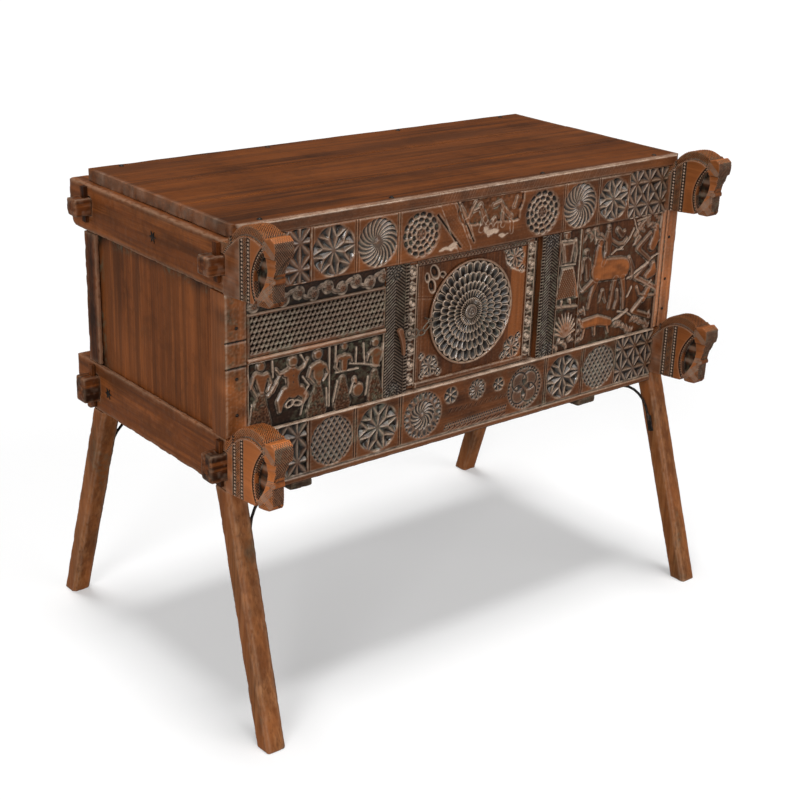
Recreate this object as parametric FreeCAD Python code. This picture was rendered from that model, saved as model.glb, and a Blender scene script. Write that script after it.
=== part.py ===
import FreeCAD, Part
import math
import os

# Wooden dowry trunk on four splayed legs.
# Frame: +X to the right along the carved front, +Y to the back, +Z up.
# Origin on the floor, in the middle of the trunk's footprint.
# All lengths are in millimetres.

V = FreeCAD.Vector
X_AXIS = V(1, 0, 0)
Y_AXIS = V(0, 1, 0)
Z_AXIS = V(0, 0, 1)

# Whole trunk
overall_height = 930.0
carcass_width = 1120.0
carcass_depth = 496.0

# Clearances
groove_gap = 0.2
seat_gap = 0.3
running_gap = 0.08
overrun = 1.0

# Side rails, which run front to back and carry the horse heads
side_rail_thickness = 44.0
upper_side_rail_height = 92.0
lower_side_rail_height = 99.0
head_reach = 140.0
short_head_reach = 126.0
rear_reach = 48.0
rear_corner_radius = 30.0
rear_top_radius = 6.0
pocket_depth = 10.0
mane_inset = 3.5
cheek_taper = 8.0
nub_radius = 9.0
nub_behind_back = 10.0

# Long rails, which run left to right between the side rails
long_rail_thickness = 40.0
top_rail_height = 98.0
bottom_rail_height = 118.0
front_opening_height = 253.0
tenon_thickness = 34.0
tenon_face_setback = 3.0
top_tenon_height = 34.0
bottom_tenon_height = 52.0
tenon_rise = 8.0
tenon_reach = 33.0
tenon_bevel = 3.0

# Wedges that lock the tenons
wedge_thickness = 8.0
wedge_taper = 2.0
wedge_width = 14.0
wedge_above = 20.0
wedge_below = 14.0

# Corner posts and the panels between them
post_depth = 44.0
face_setback = 3.0
panel_thickness = 14.0
panel_setback = 10.0
panel_tongue = 8.0
back_board_count = 3
back_board_thickness = 16.0
back_board_setback = 6.0

# Boards of the carved front
board_thickness = 20.0
board_tongue = 6.0
board_tongue_thickness = 8.0
board_tongue_setback = 6.0
lattice_board_height = 116.0
divider_height = 8.0
divider_proud = 3.0
niche_board_width = 64.0

# Stiles each side of the door
stile_width = 38.0
stile_shadow_width = 9.0
stile_shadow_depth = 9.0
stop_lip = 8.0
stop_lip_thickness = 6.0

# Door
door_opening_width = 340.0
door_setback = 10.0
door_thickness = 16.0
door_side_gap = 1.5
door_end_gap = 2.0
pivot_inset = 19.0
pivot_radius = 7.0
pivot_length = 20.0
pivot_end_gap = 2.0
hinge_swing_gap = 0.8
hinge_stile_width = 34.0
hinge_recess_depth = 6.0
bead_strip_width = 23.0
bead_strip_thickness = 5.0
bead_strip_inset = 3.0
right_strip_inset = 13.0
strip_end_inset = 6.0
door_band_height = 12.0
door_band_thickness = 3.0
door_ledge_height = 12.0
door_ledge_thickness = 5.0

# Rosette on the door
rosette_clearance = 8.5
rosette_thickness = 6.0
rosette_rim_width = 5.0
rosette_field_depth = 1.5
rosette_hub_radius = 14.0
rosette_hub_rise = 2.0
rosette_offset = 6.5
rosette_lift = 4.0

# Chain latch
chain_standoff = 11.0
wire_radius = 1.6
bar_sides = 6
ring_sides = 12
link_end_runs = 2
ring_radius = 7.0
staple_place_share = 0.766
staple_height_share = 0.54
shank_length = 12.0
link_length = 22.0
link_width = 9.0
link_angle = 40.0
hasp_angle = -6.0
hasp_thickness = 3.2
hasp_lobe_radius = 9.5
hasp_hole_radius = 6.0
hasp_lobe_spacing = 14.0
hasp_waist = 11.0
hasp_waist_hole = 5.0
stile_staple_x = -174.0
stile_staple_height_share = 0.60

# Curved pull on the left stile
pull_x = -186.0
pull_height_share = 0.50
pull_length = 46.0
pull_top_radius = 6.5
pull_tip_radius = 2.5
pull_bow = 7.0
pull_lean = 9.0
pull_thickness = 8.0

# Lid
lid_thickness = 23.0
lid_end_inset = 17.0
lid_plank_count = 3
lid_plank_gap = 0.8
lid_edge_bevel = 4.0
lid_batten_width = 50.0
lid_batten_thickness = 20.0
lid_batten_place_share = 0.55

# Floor
floor_board_count = 4
floor_board_thickness = 16.0
floor_board_gap = 1.0
bearer_width = 50.0
bearer_drop = 18.0
left_bearer_from_end = 160.0
right_bearer_from_end = 230.0
bearer_nose_radius = 8.0

# Legs
leg_top_x_size = 42.0
leg_top_y_size = 46.0
leg_foot_size = 42.0
leg_bevel = 6.0
leg_out_x = 13.0
leg_out_y = 145.0
leg_tenon_x = 20.0
leg_tenon_y = 26.0
leg_tenon_length = 18.0

# Iron braces
brace_rod_radius = 3.5
brace_bend_radius = 78.0
brace_bend_runs = 7
brace_run_x = 80.0
brace_drop = 92.0
brace_pad_width = 14.0
brace_pad_length = 24.0

# Forged nails
nail_head_radius = 6.0
nail_head_height = 3.0
nail_head_sides = 8
nail_shank = 3.0
nail_shank_length = 14.0
nail_tip_share = 0.35
small_nail_scale = 0.7
lid_nail_inset = 16.0

# Places worked out from the sizes above
side_x = carcass_width / 2
inner_x = side_x - side_rail_thickness
front_y = -carcass_depth / 2
back_y = carcass_depth / 2
rail_top = overall_height - lid_thickness
upper_rail_bottom = rail_top - upper_side_rail_height
opening_top = rail_top - top_rail_height
opening_bottom = opening_top - front_opening_height
bottom_rail_bottom = opening_bottom - bottom_rail_height
lower_rail_bottom = opening_bottom - lower_side_rail_height
board_front = front_y + face_setback
board_back = board_front + board_thickness
post_back = board_front + post_depth
door_face = front_y + door_setback
door_back = door_face + door_thickness
door_half = door_opening_width / 2
pivot_x = door_half - pivot_inset
pivot_y = door_face + door_thickness / 2
stile_outer_x = door_half + stile_width
panel_inner_x = stile_outer_x + stile_shadow_width
leaf_bottom = opening_bottom + door_end_gap
leaf_top = opening_top - door_end_gap
rosette_radius = (leaf_top - leaf_bottom - door_band_height - door_ledge_height) / 2 - rosette_clearance
leaf_left = door_side_gap - door_half
strip_inner_x = leaf_left + bead_strip_inset + bead_strip_width
rosette_left = -rosette_offset - rosette_radius
staple_x = strip_inner_x + staple_place_share * (rosette_left - strip_inner_x)
chain_y = board_front - chain_standoff
staple_z = opening_bottom + staple_height_share * front_opening_height
stile_staple_z = opening_bottom + stile_staple_height_share * front_opening_height
floor_top = lower_rail_bottom + floor_board_thickness + face_setback
floor_bottom = floor_top - floor_board_thickness

# Horse head outline, as shares of the head's reach and of the rail's height
mane_start_share = (0.03, 1.0)
mane_crown_share = (0.42, 1.44)
mane_end_share = (0.82, 1.33)
face_shares = [(0.90, 1.37), (0.985, 1.30), (1.0, 1.16), (0.985, 1.04), (0.885, 0.63), (0.915, 0.60),
               (0.915, 0.54), (0.875, 0.51), (0.88, 0.16), (0.82, 0.07), (0.67, 0.09), (0.64, 0.19),
               (0.59, 0.07), (0.30, 0.03)]
pocket_shares = [(0.78, 1.08), (0.60, 0.62), (0.645, 0.20), (0.79, 0.62)]
mane_inner_shares = [(0.10, 0.985), (0.42, 1.25), (0.76, 1.17)]
cheek_start_share = 0.72
brow_bottom_share = 1.0


def box(x0, x1, y0, y1, z0, z1):
    return Part.makeBox(x1 - x0, y1 - y0, z1 - z0, V(x0, y0, z0))


def grown(x0, x1, y0, y1, z0, z1, gap):
    return box(x0 - gap, x1 + gap, y0 - gap, y1 + gap, z0 - gap, z1 + gap)


def mirrored_x(shape):
    return shape.mirror(V(0, 0, 0), X_AXIS)


def mirrored_y(shape):
    return shape.mirror(V(0, 0, 0), Y_AXIS)


def prism(edges, direction):
    return Part.Face(Part.Wire(edges)).extrude(direction)


def polygon_prism(points, direction):
    return Part.Face(Part.makePolygon(points + [points[0]])).extrude(direction)


def line(a, b):
    return Part.LineSegment(a, b).toShape()


def arc(a, b, c):
    return Part.Arc(a, b, c).toShape()


def fused(shapes):
    return shapes[0].multiFuse(shapes[1:]).removeSplitter()


# Side rails
def head_point(share, bottom, height, x, reach):
    return V(x, front_y - share[0] * reach, bottom + share[1] * height)


def side_rail_blank(bottom, height, x0, reach):
    top = bottom + height
    rear = back_y + rear_reach
    corner = rear_corner_radius
    small = rear_top_radius
    diagonal = 1 - math.sqrt(0.5)
    mane_start = head_point(mane_start_share, bottom, height, x0, reach)
    mane_end = head_point(mane_end_share, bottom, height, x0, reach)
    face = [mane_end] + [head_point(s, bottom, height, x0, reach) for s in face_shares]
    throat = V(x0, front_y, bottom)
    edges = [arc(mane_start, head_point(mane_crown_share, bottom, height, x0, reach), mane_end)]
    edges += [line(a, b) for a, b in zip(face, face[1:] + [throat])]
    edges.append(line(throat, V(x0, rear - corner, bottom)))
    edges.append(arc(V(x0, rear - corner, bottom),
                     V(x0, rear - diagonal * corner, bottom + diagonal * corner),
                     V(x0, rear, bottom + corner)))
    edges.append(line(V(x0, rear, bottom + corner), V(x0, rear, top - small)))
    edges.append(arc(V(x0, rear, top - small),
                     V(x0, rear - diagonal * small, top - diagonal * small),
                     V(x0, rear - small, top)))
    edges.append(line(V(x0, rear - small, top), mane_start))
    return prism(edges, V(side_rail_thickness, 0, 0))


def head_pockets(bottom, height, x0, reach):
    cuts = []
    depth = pocket_depth + overrun
    for start in (x0 - overrun, x0 + side_rail_thickness - pocket_depth):
        top, back, low, front = [head_point(s, bottom, height, start, reach) for s in pocket_shares]
        cuts.append(prism([arc(top, back, low), arc(low, front, top)], V(depth, 0, 0)))
    return cuts


def mane_shelves(bottom, height, x0, reach):
    cuts = []
    depth = mane_inset + overrun
    above = height * (1 + mane_crown_share[1])
    for start in (x0 - overrun, x0 + side_rail_thickness - mane_inset):
        a, b, c = [head_point(s, bottom, height, start, reach) for s in mane_inner_shares]
        high_c = V(start, c.y, bottom + above)
        high_a = V(start, a.y, bottom + above)
        cuts.append(prism([arc(a, b, c), line(c, high_c), line(high_c, high_a), line(high_a, a)],
                          V(depth, 0, 0)))
    return cuts


def cheek_slopes(bottom, height, x0, reach):
    """The wedges cut off both sides of the face, so that it narrows under the brow."""
    slopes = []
    middle = x0 + side_rail_thickness / 2
    half = side_rail_thickness / 2
    start = front_y - cheek_start_share * reach
    end = front_y - reach - overrun
    floor = bottom - overrun
    brow = bottom + brow_bottom_share * height
    for side in (-1, 1):
        outside = middle + side * (half + overrun)
        corners = [V(middle + side * half, start, floor), V(middle + side * (half - cheek_taper), end, floor),
                   V(outside, end, floor), V(outside, start, floor)]
        slopes.append(polygon_prism(corners, V(0, 0, brow - floor)))
    return slopes


def side_rail(bottom, height, cutters, reach=head_reach, with_nub=False):
    x0 = -side_x
    rail = side_rail_blank(bottom, height, x0, reach)
    rail = rail.cut(head_pockets(bottom, height, x0, reach) + mane_shelves(bottom, height, x0, reach) +
                    cheek_slopes(bottom, height, x0, reach))
    if with_nub:
        nub = Part.makeCylinder(nub_radius, side_rail_thickness, V(x0, back_y + nub_behind_back, bottom), X_AXIS)
        rail = rail.fuse(nub).removeSplitter()
    return rail.cut(cutters)


# Long rails with through tenons
def tenon_span(y0):
    start = y0 + tenon_face_setback
    return start, start + tenon_thickness


def tenon_levels(bottom, height, tenon_height):
    middle = bottom + height / 2 + tenon_rise
    return middle - tenon_height / 2, middle + tenon_height / 2


def tenon_end(y0, bottom, height, tenon_height, gap=0.0):
    ya, yb = tenon_span(y0)
    za, zb = tenon_levels(bottom, height, tenon_height)
    reach = side_x + tenon_reach + (overrun if gap else 0.0)
    tenon = box(inner_x - overrun, reach, ya - gap, yb + gap, za - gap, zb + gap)
    if gap:
        return tenon
    ends = [e for e in tenon.Edges if e.BoundBox.XMin > reach - overrun]
    return tenon.makeChamfer(tenon_bevel, ends)


def wedge(y0, bottom, height, tenon_height, gap=0.0):
    ya, yb = tenon_span(y0)
    za, zb = tenon_levels(bottom, height, tenon_height)
    low = za - wedge_below
    high = zb + wedge_above
    middle = (ya + yb) / 2
    inner = side_x + seat_gap - gap
    outer_high = side_x + seat_gap + wedge_thickness + gap
    outer_low = outer_high - wedge_taper
    start = middle - wedge_width / 2 - gap
    points = [V(inner, start, low), V(outer_low, start, low), V(outer_high, start, high), V(inner, start, high)]
    return polygon_prism(points, V(0, wedge_width + 2 * gap, 0))


def long_rail(y0, bottom, height, tenon_height, cutters=()):
    body = box(-inner_x, inner_x, y0, y0 + long_rail_thickness, bottom, bottom + height)
    end = tenon_end(y0, bottom, height, tenon_height)
    end = end.cut(wedge(y0, bottom, height, tenon_height, groove_gap))
    rail = fused([body, end, mirrored_x(end)])
    return rail.cut(list(cutters)) if cutters else rail


# Boards with tongues that stand in the grooves of the long rails
def tongue_box(x0, x1, gap=0.0):
    ya = board_front + board_tongue_setback
    return grown(x0, x1, ya, ya + board_tongue_thickness, opening_bottom - board_tongue,
                 opening_top + board_tongue, gap)


def front_board(x0, x1, z0, z1):
    board = box(x0, x1, board_front, board_back, z0, z1)
    reach_down = board_tongue if z0 <= opening_bottom else 0.0
    reach_up = board_tongue if z1 >= opening_top else 0.0
    ya = board_front + board_tongue_setback
    tongue = box(x0 + groove_gap, x1 - groove_gap, ya, ya + board_tongue_thickness, z0 - reach_down, z1 + reach_up)
    return fused([board, tongue])


def stile(with_stop):
    wide = box(door_half, stile_outer_x, board_front, board_back, opening_bottom, opening_top)
    shadow = box(stile_outer_x, panel_inner_x, board_front + stile_shadow_depth, board_back,
                 opening_bottom, opening_top)
    ya = board_front + board_tongue_setback
    tongue = box(door_half + groove_gap, stile_outer_x, ya, ya + board_tongue_thickness,
                 opening_bottom - board_tongue, opening_top + board_tongue)
    pieces = [wide, shadow, tongue]
    if with_stop:
        lip_front = door_back + seat_gap
        lip_back = lip_front + stop_lip_thickness
        pieces.append(box(door_half, stile_outer_x, board_front, lip_back, opening_bottom, opening_top))
        pieces.append(box(door_half - stop_lip, door_half, lip_front, lip_back, opening_bottom, opening_top))
    return fused(pieces)


# Door
def pivot_pin(z0, z1, radius):
    return Part.makeCylinder(radius, z1 - z0, V(pivot_x, pivot_y, z0), Z_AXIS)


def door_hinge_stile():
    edge_x = door_half - door_side_gap
    start = edge_x - hinge_stile_width
    step_x = edge_x - right_strip_inset
    swing = pivot_inset - hinge_swing_gap
    flat = box(start, step_x, door_face, door_back, leaf_bottom, leaf_top)
    recess = box(step_x, door_half, door_face + hinge_recess_depth, door_back, leaf_bottom, leaf_top)
    round_edge = Part.makeCylinder(swing, leaf_top - leaf_bottom, V(pivot_x, pivot_y, leaf_bottom), Z_AXIS)
    low_pin = pivot_pin(leaf_bottom - pivot_length, leaf_bottom, pivot_radius)
    high_pin = pivot_pin(leaf_top, leaf_top + pivot_length, pivot_radius)
    return fused([flat, recess.common(round_edge), low_pin, high_pin])


def pivot_holes():
    depth = pivot_length + pivot_end_gap
    radius = pivot_radius + running_gap
    return [pivot_pin(opening_bottom - depth, opening_bottom + overrun, radius),
            pivot_pin(opening_top - overrun, opening_top + depth, radius)]


def door_strip(x0):
    return box(x0, x0 + bead_strip_width, door_face - bead_strip_thickness, door_face,
               leaf_bottom + strip_end_inset, leaf_top - strip_end_inset)


def rosette():
    rim_inner = rosette_radius - rosette_rim_width
    full = rosette_thickness
    field = full - rosette_field_depth
    points = [V(0, 0, 0), V(rosette_radius, 0, 0), V(rosette_radius, 0, full), V(rim_inner, 0, full),
              V(rim_inner, 0, field), V(rosette_hub_radius, 0, field), V(0, 0, full + rosette_hub_rise)]
    face = Part.Face(Part.makePolygon(points + [points[0]]))
    disc = face.revolve(V(0, 0, 0), Z_AXIS, 360)
    disc.rotate(V(0, 0, 0), X_AXIS, 90)
    middle_x = -rosette_offset
    middle_z = (opening_bottom + opening_top) / 2 + rosette_lift
    disc.translate(V(middle_x, door_face, middle_z))
    return disc


# Forged bars, drawn with flat sides along a path of short straight runs
def bar_section(point, direction, normal, radius):
    side = direction.cross(normal)
    turns = [2 * math.pi * i / bar_sides for i in range(bar_sides)]
    points = [point + normal * (radius * math.cos(t)) + side * (radius * math.sin(t)) for t in turns]
    return Part.makePolygon(points + [points[0]])


def bent_bar(points, normal, radius, closed=False):
    if closed:
        start = (points[-1] + points[0]) / 2
        points = [start] + points + [start]
    path = Part.makePolygon(points)
    direction = (points[1] - points[0]).normalize()
    section = bar_section(points[0], direction, normal, radius)
    return path.makePipeShell([section], True, False, 1)


def arc_points(centre, start_side, end_side, count):
    # A quarter turn or less from centre + start_side to centre + end_side, both sides of one length
    whole = start_side.getAngle(end_side)
    points = []
    for number in range(count + 1):
        share = number / count
        a = math.sin((1 - share) * whole) / math.sin(whole)
        b = math.sin(share * whole) / math.sin(whole)
        points.append(centre + start_side * a + end_side * b)
    return points


def door_band(z0, z1, thickness):
    x1 = door_half - door_side_gap - right_strip_inset - bead_strip_width
    return box(strip_inner_x, x1, door_face - thickness, door_face, z0, z1)


# Chain latch
def chain_direction(angle):
    return V(-math.cos(math.radians(angle)), 0, -math.sin(math.radians(angle)))


def chain_normal(angle):
    return V(-math.sin(math.radians(angle)), 0, math.cos(math.radians(angle)))


chain_along = chain_direction(link_angle)
chain_across = chain_normal(link_angle)
hook_offset = ring_radius - 2 * wire_radius - seat_gap
staple_centre = V(staple_x, chain_y, staple_z)
link_start = staple_centre + chain_along * hook_offset
link_end = link_start + chain_along * link_length
hasp_centre = link_end + chain_along * hook_offset


def wire_ring(centre, across, along):
    side = across.cross(along)
    turns = [2 * math.pi * i / ring_sides for i in range(ring_sides)]
    points = [centre + along * (ring_radius * math.cos(t)) + side * (ring_radius * math.sin(t)) for t in turns]
    return bent_bar(points, across, wire_radius, closed=True)


def shank(x, y0, z, depth_from, gap=0.0):
    half = wire_radius + gap
    return box(x - half, x + half, y0, depth_from + shank_length + gap, z - half, z + half)


def door_staple():
    start = chain_y + ring_radius
    return fused([wire_ring(staple_centre, chain_across, chain_along), shank(staple_x, start, staple_z, door_face)])


def staple_hole(x, z, face):
    return shank(x, face - overrun, z, face, groove_gap)


def stile_staple():
    centre = V(stile_staple_x, board_front - ring_radius - wire_radius, stile_staple_z)
    leg = shank(stile_staple_x, board_front - wire_radius, stile_staple_z, board_front)
    return fused([wire_ring(centre, X_AXIS, Y_AXIS), leg])


def chain_link():
    half = link_width / 2
    along = chain_along
    across = chain_across * half
    a = link_start + along * half
    b = link_end - along * half
    path = arc_points(a, across, along * -half, link_end_runs) + arc_points(a, along * -half, across * -1, link_end_runs)[1:]
    path += arc_points(b, across * -1, along * half, link_end_runs) + arc_points(b, along * half, across, link_end_runs)[1:]
    return bent_bar(path, Y_AXIS, wire_radius, closed=True)


def hasp():
    along = chain_direction(hasp_angle)
    half = V(0, hasp_thickness / 2, 0)
    first = hasp_centre + along * (ring_radius + hasp_lobe_radius)
    second = first + along * hasp_lobe_spacing
    depth = half * 2

    def disc(centre, radius, extra=0.0):
        push = Y_AXIS * extra
        return Part.makeCylinder(radius, hasp_thickness + 2 * extra, centre - half - push, Y_AXIS)

    def bar(a, b, width, extra=0.0):
        side = (b - a).cross(Y_AXIS).normalize() * (width / 2)
        push = Y_AXIS * extra
        corners = [a + side, b + side, b - side, a - side]
        return polygon_prism([c - half - push for c in corners], depth + push * 2)

    neck_start = hasp_centre + chain_along * ring_radius
    neck_reach = (first - neck_start).normalize() * (hasp_lobe_radius + hasp_hole_radius) / 2
    neck = bar(neck_start, first - neck_reach, 2 * wire_radius)
    solid = fused([disc(first, hasp_lobe_radius), disc(second, hasp_lobe_radius), bar(first, second, hasp_waist)])
    holes = [disc(first, hasp_hole_radius, overrun), disc(second, hasp_hole_radius, overrun),
             bar(first, second, hasp_waist_hole, overrun)]
    return fused([solid.cut(holes), neck, wire_ring(hasp_centre, chain_across, chain_along)])


# Curved pull, a tapered horn shape lying on the stile
def stile_pull():
    top_z = opening_bottom + pull_height_share * front_opening_height
    y0 = board_front - pull_thickness
    top = V(pull_x, y0, top_z)
    low = V(pull_x + pull_lean, y0, top_z - pull_length)
    bow = V(pull_x + pull_bow, y0, top_z - pull_length / 2)
    left = [top - X_AXIS * pull_top_radius, bow - X_AXIS * (pull_top_radius + pull_tip_radius) / 2,
            low - X_AXIS * pull_tip_radius]
    right = [low + X_AXIS * pull_tip_radius, bow + X_AXIS * (pull_top_radius + pull_tip_radius) / 2,
             top + X_AXIS * pull_top_radius]
    edges = [arc(*left), arc(left[-1], low - Z_AXIS * pull_tip_radius, right[0]), arc(*right),
             arc(right[-1], top + Z_AXIS * pull_top_radius, left[0])]
    return prism(edges, V(0, pull_thickness, 0))


# Lid
def lid_planks():
    x1 = side_x - lid_end_inset
    y0 = front_y
    y1 = back_y
    width = (y1 - y0 - (lid_plank_count - 1) * lid_plank_gap) / lid_plank_count
    planks = []
    for number in range(lid_plank_count):
        start = y0 + number * (width + lid_plank_gap)
        plank = box(-x1, x1, start, start + width, rail_top, overall_height)
        edges = [e for e in plank.Edges
                 if e.BoundBox.ZMin > rail_top and (e.BoundBox.XLength < overrun or
                 e.BoundBox.YMax < y0 + overrun or e.BoundBox.YMin > y1 - overrun)]
        planks.append(plank.makeChamfer(lid_edge_bevel, edges))
    return planks


def lid_batten(side):
    middle = side * lid_batten_place_share * inner_x
    inside = front_y + long_rail_thickness
    return box(middle - lid_batten_width / 2, middle + lid_batten_width / 2, inside, -inside,
               rail_top - lid_batten_thickness, rail_top)


# Floor
def floor_boards():
    inside = front_y + long_rail_thickness
    width = (-2 * inside - (floor_board_count - 1) * floor_board_gap) / floor_board_count
    boards = []
    for number in range(floor_board_count):
        start = inside + number * (width + floor_board_gap)
        boards.append(box(-inner_x, inner_x, start, start + width, floor_bottom, floor_top))
    return boards


def floor_bearer(middle_x):
    inside = front_y + long_rail_thickness
    low = bottom_rail_bottom - bearer_drop
    nose = bearer_nose_radius
    x0 = middle_x - bearer_width / 2
    half = [V(x0, inside, floor_bottom), V(x0, inside, bottom_rail_bottom),
            V(x0, board_front, bottom_rail_bottom), V(x0, board_front, low + nose)]
    low_start = V(x0, board_front + nose, low)
    diagonal = 1 - math.sqrt(0.5)
    bend = V(x0, board_front + diagonal * nose, low + diagonal * nose)
    edges = [line(a, b) for a, b in zip(half, half[1:])]
    edges.append(arc(half[-1], bend, low_start))
    edges.append(line(low_start, V(x0, 0, low)))
    edges.append(line(V(x0, 0, low), V(x0, 0, floor_bottom)))
    edges.append(line(V(x0, 0, floor_bottom), half[0]))
    front_half = prism(edges, V(bearer_width, 0, 0))
    return fused([front_half, mirrored_y(front_half)])


# Legs, drawn for the front left corner
def bevelled_section(x, y, z, x_size, y_size):
    a = x_size / 2
    b = y_size / 2
    c = leg_bevel
    corners = [(-a + c, -b), (a - c, -b), (a, -b + c), (a, b - c), (a - c, b), (-a + c, b), (-a, b - c), (-a, -b + c)]
    points = [V(x + dx, y + dy, z) for dx, dy in corners]
    return Part.makePolygon(points + [points[0]])


leg_top_x = -(side_x - side_rail_thickness / 2)
leg_top_y = front_y + face_setback + leg_top_y_size / 2
leg_foot_x = leg_top_x - leg_out_x
leg_foot_y = leg_top_y - leg_out_y


def leg_tenon(gap=0.0):
    z1 = lower_rail_bottom + leg_tenon_length
    return grown(leg_top_x - leg_tenon_x / 2, leg_top_x + leg_tenon_x / 2,
                 leg_top_y - leg_tenon_y / 2, leg_top_y + leg_tenon_y / 2,
                 lower_rail_bottom - overrun, z1, gap)


def leg():
    top = bevelled_section(leg_top_x, leg_top_y, lower_rail_bottom, leg_top_x_size, leg_top_y_size)
    foot = bevelled_section(leg_foot_x, leg_foot_y, 0, leg_foot_size, leg_foot_size)
    return fused([Part.makeLoft([foot, top], True, True), leg_tenon()])


# Iron braces, drawn for the front left corner
def brace():
    drop = lower_rail_bottom
    inner_top = V(leg_top_x + leg_top_x_size / 2, leg_top_y, lower_rail_bottom)
    inner_foot = V(leg_foot_x + leg_foot_size / 2, leg_foot_y, 0)
    down = inner_foot - inner_top
    level = bottom_rail_bottom - brace_rod_radius - seat_gap
    offset = brace_rod_radius + seat_gap
    corner = inner_top + down * ((lower_rail_bottom - level) / drop) + X_AXIS * offset
    down_unit = V(down.x, down.y, down.z).normalize()
    start = corner + X_AXIS * brace_run_x
    end = corner + down_unit * brace_drop
    turn = math.pi - X_AXIS.getAngle(down_unit)
    back = brace_bend_radius * math.tan(turn / 2)
    first = corner + X_AXIS * back
    last = corner + down_unit * back
    inward = (X_AXIS + down_unit).normalize()
    centre = corner + inward * (brace_bend_radius / math.cos(turn / 2))
    bend = arc_points(centre, first - centre, last - centre, brace_bend_runs)
    plane = X_AXIS.cross(down_unit).normalize()
    rod = bent_bar([start] + bend + [end], plane, brace_rod_radius)
    pad_thickness = brace_rod_radius
    half = brace_pad_width / 2
    upper = box(start.x - brace_pad_length, start.x + brace_pad_length / 4, start.y - half, start.y + half,
                level, level + pad_thickness)
    lower = box(-offset + seat_gap, 0, -half, half, 0, brace_pad_length * 3 / 2)
    up_unit = down_unit * -1
    lower.rotate(V(0, 0, 0), Z_AXIS.cross(up_unit), math.degrees(Z_AXIS.getAngle(up_unit)))
    lower.translate(end + down_unit * brace_pad_length)
    return fused([rod, upper, lower])


# Nails
def nail(scale=1.0):
    radius = nail_head_radius * scale
    height = nail_head_height * scale
    half = nail_shank * scale / 2
    rim = [V(radius * math.cos(2 * math.pi * i / nail_head_sides),
             radius * math.sin(2 * math.pi * i / nail_head_sides), 0) for i in range(nail_head_sides)]
    tip = [V(p.x * nail_tip_share, p.y * nail_tip_share, height) for p in rim]
    head = Part.makeLoft([Part.makePolygon(rim + [rim[0]]), Part.makePolygon(tip + [tip[0]])], True, True)
    shank = box(-half, half, -half, half, -nail_shank_length * scale, 0)
    return fused([head, shank])


def nail_hole(scale=1.0):
    half = nail_shank * scale / 2 + groove_gap
    return box(-half, half, -half, half, -nail_shank_length * scale - groove_gap, overrun)


def placed(shape, point, outward):
    copy = shape.copy()
    if outward.isEqual(-Z_AXIS, groove_gap):
        copy.rotate(V(0, 0, 0), X_AXIS, 180)
    elif not outward.isEqual(Z_AXIS, groove_gap):
        copy.rotate(V(0, 0, 0), Z_AXIS.cross(outward), math.degrees(Z_AXIS.getAngle(outward)))
    copy.translate(point)
    return copy


def lid_nail_places():
    places = []
    y = carcass_depth / 2 - lid_nail_inset
    for share in lid_front_nail_shares:
        places.append(V(share * side_x, -y, overall_height))
    for share in lid_back_nail_shares:
        places.append(V(share * side_x, y, overall_height))
    return places


lid_front_nail_shares = (-0.86, -0.36, 0.30, 0.86)
lid_back_nail_shares = (-0.86, -0.27, 0.33, 0.86)
side_nail_y_shares = (-0.06, 0.70)
post_nail_z_shares = (0.16, 0.42, 0.78)


def side_nail_places(side):
    upper = upper_rail_bottom + upper_side_rail_height / 2
    lower = lower_rail_bottom + lower_side_rail_height / 2
    return [V(side * side_x, side_nail_y_shares[0] * back_y, upper),
            V(side * side_x, side_nail_y_shares[1] * back_y, lower)]


def post_nail_places(side):
    x = side * (side_x - side_rail_thickness / 2)
    return [V(x, board_front, opening_bottom + s * front_opening_height) for s in post_nail_z_shares]


def group(shapes):
    return Part.makeCompound(shapes)


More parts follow.
